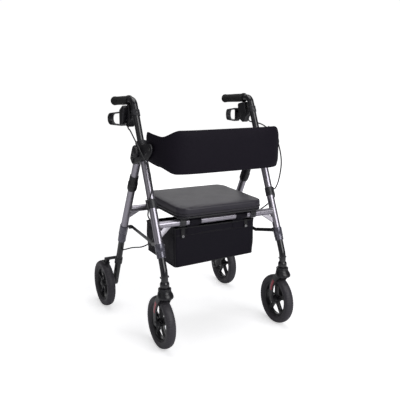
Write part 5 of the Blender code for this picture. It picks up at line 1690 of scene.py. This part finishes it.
@dataclass
class BackBand:
    """The padded back band, with a hem round its edge."""

    half_width: float = 0.2487
    reach: float = 0.1445
    start_y: float = -0.1469
    thickness: float = 0.0138
    height: float = 0.147
    middle: float = 0.6961
    hem_width: float = 0.0070
    held_edge: float = 0.0072
    columns: int = 150

    def station(self, turn: float) -> Vector:
        """Middle of the band in plan, at a turn from its left end (0) to its right end (180)."""
        angle = math.radians(turn - 90)
        sine, cosine = math.sin(angle), math.cos(angle)
        return Vector((-self.half_width * math.copysign(abs(sine) ** 0.274, sine),
                       self.start_y - self.reach * abs(cosine) ** 1.142, 0))

    def heights(self, share: float) -> tuple[float, float]:
        """Bottom and top of the band, at a share of the way from its middle to its end."""
        fall, rise = (eased(clamped((share - start) / 0.20)) for start in (0.54, 0.58))
        top = self.height / 2 - 0.0225 * fall + max(0.0, share - 0.75) * 0.05
        bottom = -self.height / 2 + 0.022 * rise + max(0.0, share - 0.79) * 0.07
        corner = 0.011 * max(0.0, (share - 0.968) / 0.032) ** 2
        top, bottom = top - corner, bottom + corner
        return self.middle + bottom, self.middle + top

    def centre_line(self) -> tuple[list[Vector], float]:
        """Points along the band at even distances, and its length."""
        fine = [self.station(180 * (0.5 - 0.5 * math.cos(math.pi * i / 3000))) for i in range(3001)]
        gone = [0.0]
        for before, after in zip(fine, fine[1:]):
            gone.append(gone[-1] + (after - before).length)
        points = []
        place = 0
        for i in range(self.columns + 1):
            wanted = gone[-1] * i / self.columns
            while place < len(fine) - 2 and gone[place + 1] < wanted:
                place += 1
            step = (wanted - gone[place]) / max(gone[place + 1] - gone[place], 1e-9)
            points.append(fine[place].lerp(fine[place + 1], step))
        return points, gone[-1]

    def section(self, rows: int = 22) -> list[tuple[float, float]]:
        """Section of the band, as (side, share of the height) points, all the way round."""
        shares = [0.5 - 0.5 * math.cos(math.pi * i / rows) for i in range(rows + 1)]
        outer = []
        for share in shares:
            edge = min(share, 1 - share) * self.height
            depth = 0.30 + 0.20 * min(1.0, edge / 0.0035) if edge < self.hem_width else 0.50
            depth += 0.42 * (1 - math.exp(-max(0.0, edge - self.hem_width) / 0.0060))
            outer.append((depth, share))
        return outer + [(-side, share) for side, share in outer[::-1]]

    def build(self) -> None:
        """Loft the band, fill its padding and sew its hem."""
        points, length = self.centre_line()
        section = self.section()
        band = self.cover(points, length, section)
        held = []
        for i in range(len(points)):
            for j, (_, share) in enumerate(section):
                if min(share, 1 - share) * self.height < self.held_edge or min(i, self.columns - i) < 4:
                    held.append(i * len(section) + j)
        swell(band, held, 3.0, 0.0012)
        modify(band, "SUBSURF", levels=1, render_levels=1)
        dress(band, "back_band", BAND_CLOTH, "frame", "backrest_pad", smooth=60)
        self.hem(points)

    def cover(self, points: list[Vector], length: float,
              section: list[tuple[float, float]]) -> bpy.types.Object:
        """The band's closed cover, before it is filled.

        Args:
            points: Points along the band's middle.
            length: The band's length.
            section: The band's section, as (side, share of the height) points.

        Returns:
            The cover, with its points ring by ring from the left end.
        """
        bm = bmesh.new()
        layer = bm.loops.layers.uv.new("UVMap")
        rings = []
        for i, point in enumerate(points):
            along = (points[min(i + 1, self.columns)] - points[max(i - 1, 0)]).normalized()
            normal = Vector((along.y, -along.x, 0))
            bottom, top = self.heights(abs(2 * i / self.columns - 1))
            thin = min(1.0, 0.45 + 0.55 * min(i, self.columns - i) / 3)
            ring = []
            for side, share in section:
                place = point + normal * side * thin * self.thickness / 2
                place.z = bottom + (top - bottom) * share
                ring.append(bm.verts.new(place))
            rings.append(ring)
        count = len(section)
        for i, (ring, following) in enumerate(zip(rings, rings[1:])):
            for j in range(count):
                k = (j + 1) % count
                face = bm.faces.new((ring[j], ring[k], following[k], following[j]))
                for loop, (column, row) in zip(face.loops, ((i, j), (i, k), (i + 1, k), (i + 1, j))):
                    loop[layer].uv = (column * length / self.columns, section[row][1] * self.height)
        bm.faces.new(rings[0])
        bm.faces.new(rings[-1])
        return from_bmesh(bm, "band")

    def hem(self, points: list[Vector]) -> None:
        """The bound edge round the band."""
        path = []
        for rising in (True, False):
            order = range(len(points)) if rising else range(len(points) - 1, -1, -1)
            for i in order:
                low, high = self.heights(abs(2 * i / self.columns - 1))
                end = min(i, self.columns - i)
                ease = 0.0060 * max(0.0, 1 - end / 2)
                height = high - 0.0016 - ease if rising else low + 0.0016 + ease
                path.append(Vector((points[i].x, points[i].y, height)))
        dress(tube(path, 0.0019, cyclic=True, sides=4), "back_band_hem", BAND_HEM, "frame", smooth=60)


# Bag, stays and cables


@dataclass
class Bag:
    """The open fabric bag under the seat, which hangs from the front tube."""

    half_width: float = 0.1680
    length: float = 0.262
    wall: float = 0.0022
    corner: float = 0.012
    floor_z: float = 0.2735
    floor_slope: float = 0.01
    floor_tilt: float = 0.0060
    rim_z: float = 0.4132
    rim_fall: float = 0.0250
    rows: int = 40
    row_height: float = 0.0034
    corner_steps: int = 10
    side_steps: int = 26

    @property
    def front(self) -> float:
        """The bag's front face."""
        return FRONT_TUBE.y + TUBE_RADIUS + 2 * GAP

    def build(self) -> None:
        """Model the bag, its seams, hem, loops and closing tabs."""
        self.shell()
        self.seams()
        self.loops()
        self.tabs()

    def rim(self, y: float) -> float:
        """Height of the bag's rim, which falls towards the back."""
        return self.rim_z - self.rim_fall * clamped((y - self.front - 0.020) / (self.length - 0.04))

    def floor_height(self, place: Vector) -> float:
        """Height of the bag's floor, which rises a little to the back and to the walker's left."""
        return (self.floor_z + (place.y - self.front) * self.floor_slope
                + self.floor_tilt * place.x / self.half_width)

    def outline(self, height: float) -> list[Vector]:
        """Outline of the bag at a share of its height, sagged outwards low down."""
        low = 1 - height
        belly = 0.0030 * math.sin(math.pi * min(1.0, low * 1.1)) * low
        narrow = 0.003 * low
        return round_rectangle(self.half_width - narrow + belly, self.front + 0.003 * low - belly * 0.3,
                               self.front + self.length - 0.004 * low + belly, self.corner,
                               self.corner_steps, self.side_steps)

    def point(self, place: Vector, height: float, crease: float = 1.0) -> Vector:
        """Point of the shell over a place of its outline, with soft creases.

        Args:
            place: The (x, y) place.
            height: Share of the height.
            crease: How strong the creases are.

        Returns:
            The point.
        """
        floor, top = self.floor_height(place), self.rim(place.y)
        x, y = place
        wave = (math.sin(x * 38 + 2.1 * height) * math.sin(height * 4.2 + x * 9)
                + 0.7 * math.sin(y * 55 - 3 * height + 1.3) * math.sin(height * 6.1 + 0.4)
                + 0.5 * math.sin((x + y) * 90 + height * 7))
        edge = math.sin(math.pi * min(1.0, height * 1.02)) ** 0.7
        out = Vector((x, y - self.front - self.length / 2))
        push = 0.0009 * wave * edge * crease
        sag = 0.0045 * math.sin(math.pi * height) * abs(x) / self.half_width
        return Vector((x + out.x / self.half_width * push, y + math.copysign(push, out.y) * 0.8,
                       floor + (top - floor) * height - sag * 0.2))

    def shell(self) -> None:
        """The lofted shell: sagging sides and a soft floor, with an inner wall."""
        bm = bmesh.new()
        layer = bm.loops.layers.uv.new("UVMap")
        rings, maps = [], []
        for row in range(self.rows + 1):
            height = row / self.rows
            ring = [self.point(place, height) for place in self.outline(height)]
            gone, lengths = 0.0, []
            for i, place in enumerate(ring):
                lengths.append(gone)
                gone += (ring[(i + 1) % len(ring)] - place).length
            rings.append([bm.verts.new(place) for place in ring])
            maps.append(lengths + [gone])
        count = len(rings[0])
        for row in range(self.rows):
            for i in range(count):
                j = (i + 1) % count
                face = bm.faces.new((rings[row][i], rings[row][j], rings[row + 1][j], rings[row + 1][i]))
                for loop, (r, c) in zip(face.loops, ((row, i), (row, i + 1), (row + 1, i + 1), (row + 1, i))):
                    loop[layer].uv = (maps[r][c], r * self.row_height)
        self.floor(bm, layer, rings[0])
        bag = from_bmesh(bm, "bag_shell")
        modify(bag, "SOLIDIFY", thickness=self.wall, offset=-1.0, use_even_offset=True)
        dress(bag, "bag_shell", BAG_CLOTH, "frame", "bag", smooth=50)

    def floor(self, bm: bmesh.types.BMesh, layer: bmesh.types.BMLayerItem, rim: list) -> None:
        """Close the shell below with rings that shrink to a soft, slightly sunken middle."""
        middle = Vector((0, self.front + self.length / 2, 0))
        rings = [rim]
        for step in range(1, 9):
            share = step / 9
            ring = []
            for vertex in rim:
                place = vertex.co.lerp(Vector((middle.x, middle.y, vertex.co.z)), share)
                place.z = self.floor_height(place) + 0.0012 * math.sin(place.x * 40) + 0.0022 * share
                ring.append(bm.verts.new(place))
            rings.append(ring)
        faces = []
        for outer, inner in zip(rings, rings[1:]):
            for i in range(len(outer)):
                j = (i + 1) % len(outer)
                faces.append(bm.faces.new((outer[j], outer[i], inner[i], inner[j])))
        faces.append(bm.faces.new(rings[-1][::-1]))
        for face in faces:
            for loop in face.loops:
                loop[layer].uv = (loop.vert.co.x, loop.vert.co.y)

    def seams(self) -> None:
        """Bound seams up the corners, round the floor and along the rim."""
        rim = [self.point(place, 1.0, 0.0) - UP * 0.0015 for place in self.outline(1.0)]
        low = [self.point(place, 0.0, 0.0) + UP * 0.0005 for place in self.outline(0.0)]
        trims = [tube(rim, 0.0024, True, 3), tube(low, 0.0016, True, 3)]
        corner_to_corner = self.corner_steps + 1 + self.side_steps
        for quarter in range(4):
            corner = self.corner_steps // 2 + quarter * corner_to_corner
            path = []
            for row in range(self.rows + 1):
                height = row / self.rows
                path.append(self.point(self.outline(height)[corner], height))
            trims.append(tube(path, 0.0014, False, 3))
        dress(grouped(trims), "bag_seams", BAG_TRIM, "frame", smooth=60)
        band = []
        for height in (0.80, 0.825):
            path = [self.point(place, height) for place in self.outline(height)]
            band.append(tube([self.outward(place, 0.0002) for place in path], 0.0005, True, 1))
        dress(grouped(band), "bag_stitches", BAG_TRIM, "frame", smooth=60)

    def outward(self, place: Vector, distance: float) -> Vector:
        """A point moved away from the bag's middle."""
        out = place - Vector((0, self.front + self.length / 2, place.z))
        return place + out.normalized() * distance

    @staticmethod
    def strap(path: list[Vector], width: float, thickness: float) -> bpy.types.Object:
        """A flat strap of webbing along a chain of points, with its width along X.

        Args:
            path: The points.
            width: Its width.
            thickness: Its thickness.

        Returns:
            The closed strap.
        """
        bm = bmesh.new()
        rings = []
        for i, point in enumerate(path):
            along = (path[min(i + 1, len(path) - 1)] - path[max(i - 1, 0)]).normalized()
            normal = along.cross(LEFT).normalized() * thickness / 2
            side = LEFT * width / 2
            rings.append([bm.verts.new(point + side * u + normal * v)
                          for u, v in ((-1, -0.4), (-0.96, -1), (0.96, -1), (1, -0.4), (1, 0.4),
                                       (0.96, 1), (-0.96, 1), (-1, 0.4))])
        for ring, following in zip(rings, rings[1:]):
            for j in range(8):
                k = (j + 1) % 8
                bm.faces.new((ring[j], ring[k], following[k], following[j]))
        bm.faces.new(rings[0])
        bm.faces.new(rings[-1])
        return from_bmesh(bm, "strap")

    def loops(self) -> None:
        """Fabric loops round the front cross tube, sewn to the bag's front."""
        inner = TUBE_RADIUS + 2 * GAP + 0.0009
        for side in Side:
            tail = Vector((0, self.front - 0.0012, FRONT_TUBE.z - 0.050))
            path = [tail, tail + UP * 0.015, tail + UP * 0.030]
            for i in range(26):
                angle = math.radians(-8 + 352 * i / 29)
                path.append(FRONT_TUBE + Vector((0, inner * math.cos(angle), -inner * math.sin(angle))))
            middle = LEFT * side.value * 0.0960
            loop = self.strap([point + middle for point in path], 0.047, 0.0016)
            dress(loop, "bag_loop_" + side.label, BAG_CLOTH, "frame", smooth=50)

    def tabs(self) -> None:
        """Short closing tabs with a snap at the front edge."""
        for name, x, drop in (("right", -0.136, 0.040), ("left", 0.128, 0.030)):
            top = Vector((x, self.front - 0.0034, self.rim(self.front) + 0.002))
            path = [top - UP * drop * i / 12 + BACK * 0.0006 * math.sin(i / 2) for i in range(13)]
            tab = self.strap(path, 0.014, 0.0014)
            dress(tab, "bag_tab_" + name, BAG_TRIM, "frame", smooth=50)
            face = path[-3] - BACK * 0.0008
            ring = turned([(0.0018, 0.0012), (0.0036, 0.0014), (0.0046, 0.0006), (0.0046, -0.0002),
                           (0.0018, -0.0002)], face, -BACK, 28)
            dress(ring, "bag_snap_" + name, ZINC, "frame")


@dataclass
class Stays:
    """Two-piece fold stays, with eased edges and riveted ends."""

    width: float = 0.013
    thickness: float = 0.004

    def build(self) -> None:
        """Model both stays."""
        for name, lug, x_high in (("front", STAY_FRONT, 0.2279), ("rear", STAY_REAR, 0.2228)):
            outline = hull_outline([(*end, self.width / 2) for end in (lug, STAY_KNUCKLE)])
            link = side_plate(outline, x_high - self.thickness, x_high, 0.0009)
            hole = along_x(Vector((0, *lug)), x_high - 0.02, x_high + 0.02, 0.0033)
            link = combined(link, [hole], "DIFFERENCE")
            dress_pair(link, name + "_stay_link", BLACK_PAINT, name + "_stays", name + "_stay")
        rivet = dome(Vector((0.2188, *STAY_KNUCKLE)), -LEFT, RIVET_RADIUS, 0.0016)
        dress_pair(rivet, "stay_rivet", DARK_BOLT, "rear_stays")


UPPER_ROUTES = {
    Side.LEFT: [Vector((0.2710, -0.036, 0.762)), Vector((0.2855, -0.073, 0.751)),
                Vector((0.2875, -0.143, 0.720)), Vector((0.2845, -0.181, 0.674)),
                Vector((0.2790, -0.203, 0.619)), Vector((0.2730, -0.198, 0.556)),
                Vector((0.2680, -0.184, 0.521))],
    Side.RIGHT: [Vector((0.2750, -0.045, 0.760)), Vector((0.2855, -0.088, 0.757)),
                 Vector((0.2865, -0.147, 0.718)), Vector((0.2830, -0.198, 0.673)),
                 Vector((0.2760, -0.221, 0.644)), Vector((0.2710, -0.227, 0.610)),
                 Vector((0.2670, -0.224, 0.566)), Vector((0.2655, -0.197, 0.530))],
}
LOWER_ROUTES = {
    Side.LEFT: [Vector((0.2560, -0.164, 0.462)), Vector((0.2330, -0.145, 0.436)),
                Vector((0.2070, -0.105, 0.402)), Vector((0.1990, -0.040, 0.352)),
                Vector((0.2040, 0.030, 0.306)), Vector((0.2220, 0.085, 0.281))],
    Side.RIGHT: [Vector((0.2560, -0.164, 0.462)), Vector((0.2330, -0.148, 0.430)),
                 Vector((0.2060, -0.112, 0.388)), Vector((0.1970, -0.050, 0.335)),
                 Vector((0.2030, 0.025, 0.296)), Vector((0.2220, 0.085, 0.279))],
}


@dataclass
class Cables:
    """Brake cables, each in a stretch above its clip and one below it."""

    radius: float = 0.0025
    offset: float = 0.0182

    def build(self) -> None:
        """Model the four stretches."""
        out = (ADJUSTER_END - ADJUSTER_TOP).normalized()
        clip = leg_point(0.276) + LEFT * self.offset
        forward = LOWER_DOWN.cross(LEFT)
        entry = rear_leg_point(0.1015) + LOWER_DOWN * 0.066 + forward * (LOWER_RADIUS + 2 * GAP)
        for side in Side:
            upper = [ADJUSTER_END + out * GAP, ADJUSTER_END + out * 0.016] + UPPER_ROUTES[side]
            upper += [clip + LEG_UP * 0.009, clip + LEG_UP * GAP]
            lower = [clip, clip - LEG_UP * 0.022] + LOWER_ROUTES[side] + [entry + forward * 0.012, entry]
            flip = Vector((side.value, 1, 1))
            for name, route in (("upper", upper), ("lower", lower)):
                path = [point * flip for point in smooth_path(route, 0.004)]
                self.stretch(name, side, path)

    def stretch(self, name: str, side: Side, path: list[Vector]) -> None:
        """One stretch of cable.

        Args:
            name: upper or lower.
            side: The walker's side.
            path: Points along it.
        """
        cable = tube(path, self.radius, sides=4)
        cable.name = name + "_brake_hose_" + side.label
        cable.data.name = cable.name
        cable.data.materials.append(JACKET.material())
        select_only(cable)
        bpy.ops.object.shade_smooth()
        if name == "upper":
            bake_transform(cable)
        else:
            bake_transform(cable)
        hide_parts(name + "_cable_" + side.label)
        LOG.info("%s blends between two bodies", cable.name)


# Studio


@dataclass
class Studio:
    """Pale floor, white surroundings, soft lights and the camera."""

    camera_place: tuple[float, float, float] = (-1.06413, -2.08326, 0.95930)
    camera_target: tuple[float, float, float] = (0.02555, -0.0206, 0.46696)
    lens: float = 54.645

    def build(self) -> None:
        """Set up everything round the walker."""
        self.camera()
        self.floor()
        self.world()
        self.light("key", (0.6, -3.0, 2.2), 2.4, 64.0)
        self.light("fill", (-2.8, -0.9, 1.6), 2.4, 6.0)
        self.light("top", (0.1, 0.2, 3.2), 2.4, 38.0)
        self.light("back", (1.3, 2.5, 1.35), 2.0, 10.0)
        bpy.context.scene.view_settings.view_transform = "Standard"

    def camera(self) -> None:
        """The camera, at the photograph's place."""
        place, target = Vector(self.camera_place), Vector(self.camera_target)
        data = bpy.data.cameras.new("camera")
        data.lens = self.lens
        data.sensor_width = 36.0
        data.clip_end = 50.0
        camera = bpy.data.objects.new("camera", data)
        camera.location = place
        camera.rotation_mode = "QUATERNION"
        camera.rotation_quaternion = (target - place).to_track_quat("-Z", "Y")
        bpy.context.scene.collection.objects.link(camera)
        bpy.context.scene.camera = camera

    @staticmethod
    def floor() -> None:
        """A pale floor that keeps the soft shadows."""
        bpy.ops.mesh.primitive_plane_add(size=14.0, location=(0, 0, 0))
        floor = bpy.context.object
        floor.name = "studio_floor"
        floor.location = (0, 0, -0.0002)
        material = bpy.data.materials.new("floor_white")
        material.use_nodes = True
        nodes = Nodes(material.node_tree)
        shader = material.node_tree.nodes["Principled BSDF"]
        shader.inputs["Base Color"].default_value = (0.93, 0.93, 0.95, 1.0)
        shader.inputs["Roughness"].default_value = 0.9
        shader.inputs["Specular IOR Level"].default_value = 0.0
        shader.inputs["Emission Color"].default_value = (1.0, 1.0, 1.0, 1.0)
        seen = nodes.add("ShaderNodeLightPath").outputs["Is Camera Ray"]
        distance = nodes.add("ShaderNodeVectorMath", operation="LENGTH")
        nodes.link(nodes.add("ShaderNodeTexCoord").outputs["Object"], distance.inputs[0])
        fade = nodes.add("ShaderNodeMapRange", {"From Min": 1.2, "From Max": 3.0, "To Min": 0.55,
                                                "To Max": 1.0})
        nodes.link(distance.outputs["Value"], fade.inputs["Value"])
        nodes.link(nodes.maths("MULTIPLY", seen, fade.outputs[0]), shader.inputs["Emission Strength"])
        floor.data.materials.append(material)

    @staticmethod
    def world() -> None:
        """White for the camera, and softer for what it lights."""
        world = bpy.data.worlds.new("white_room")
        bpy.context.scene.world = world
        world.use_nodes = True
        nodes = Nodes(world.node_tree)
        background = world.node_tree.nodes["Background"]
        background.inputs["Color"].default_value = (1.0, 1.0, 1.0, 1.0)
        seen = nodes.add("ShaderNodeLightPath").outputs["Is Camera Ray"]
        strength = nodes.maths("ADD", nodes.maths("MULTIPLY", seen, 0.93), 0.09)
        nodes.link(strength, background.inputs["Strength"])

    @staticmethod
    def light(name: str, place: tuple[float, float, float], size: float, power: float) -> None:
        """A square soft light aimed at the walker.

        Args:
            name: The light's name.
            place: Its place.
            size: Its side.
            power: Its power in watts.
        """
        data = bpy.data.lights.new(name, "AREA")
        data.shape = "SQUARE"
        data.size = size
        data.energy = power
        light = bpy.data.objects.new(name, data)
        light.location = place
        light.rotation_mode = "QUATERNION"
        light.rotation_quaternion = (Vector((0, 0, 0.45)) - Vector(place)).to_track_quat("-Z", "Y")
        bpy.context.scene.collection.objects.link(light)


def main() -> None:
    """Dress the walker."""
    logging.basicConfig(level=logging.INFO, format="%(name)s %(message)s")
    Studio().build()
    Cables().build()
    for assembly in (SideFrames(), Hubs(), Wheels(), Casters(), Handles(), Brakes(), Stays(), Seat(),
                     BackBand(), Bag()):
        assembly.build()
        LOG.info("%s built", type(assembly).__name__)


if __name__ == "__main__":
    main()
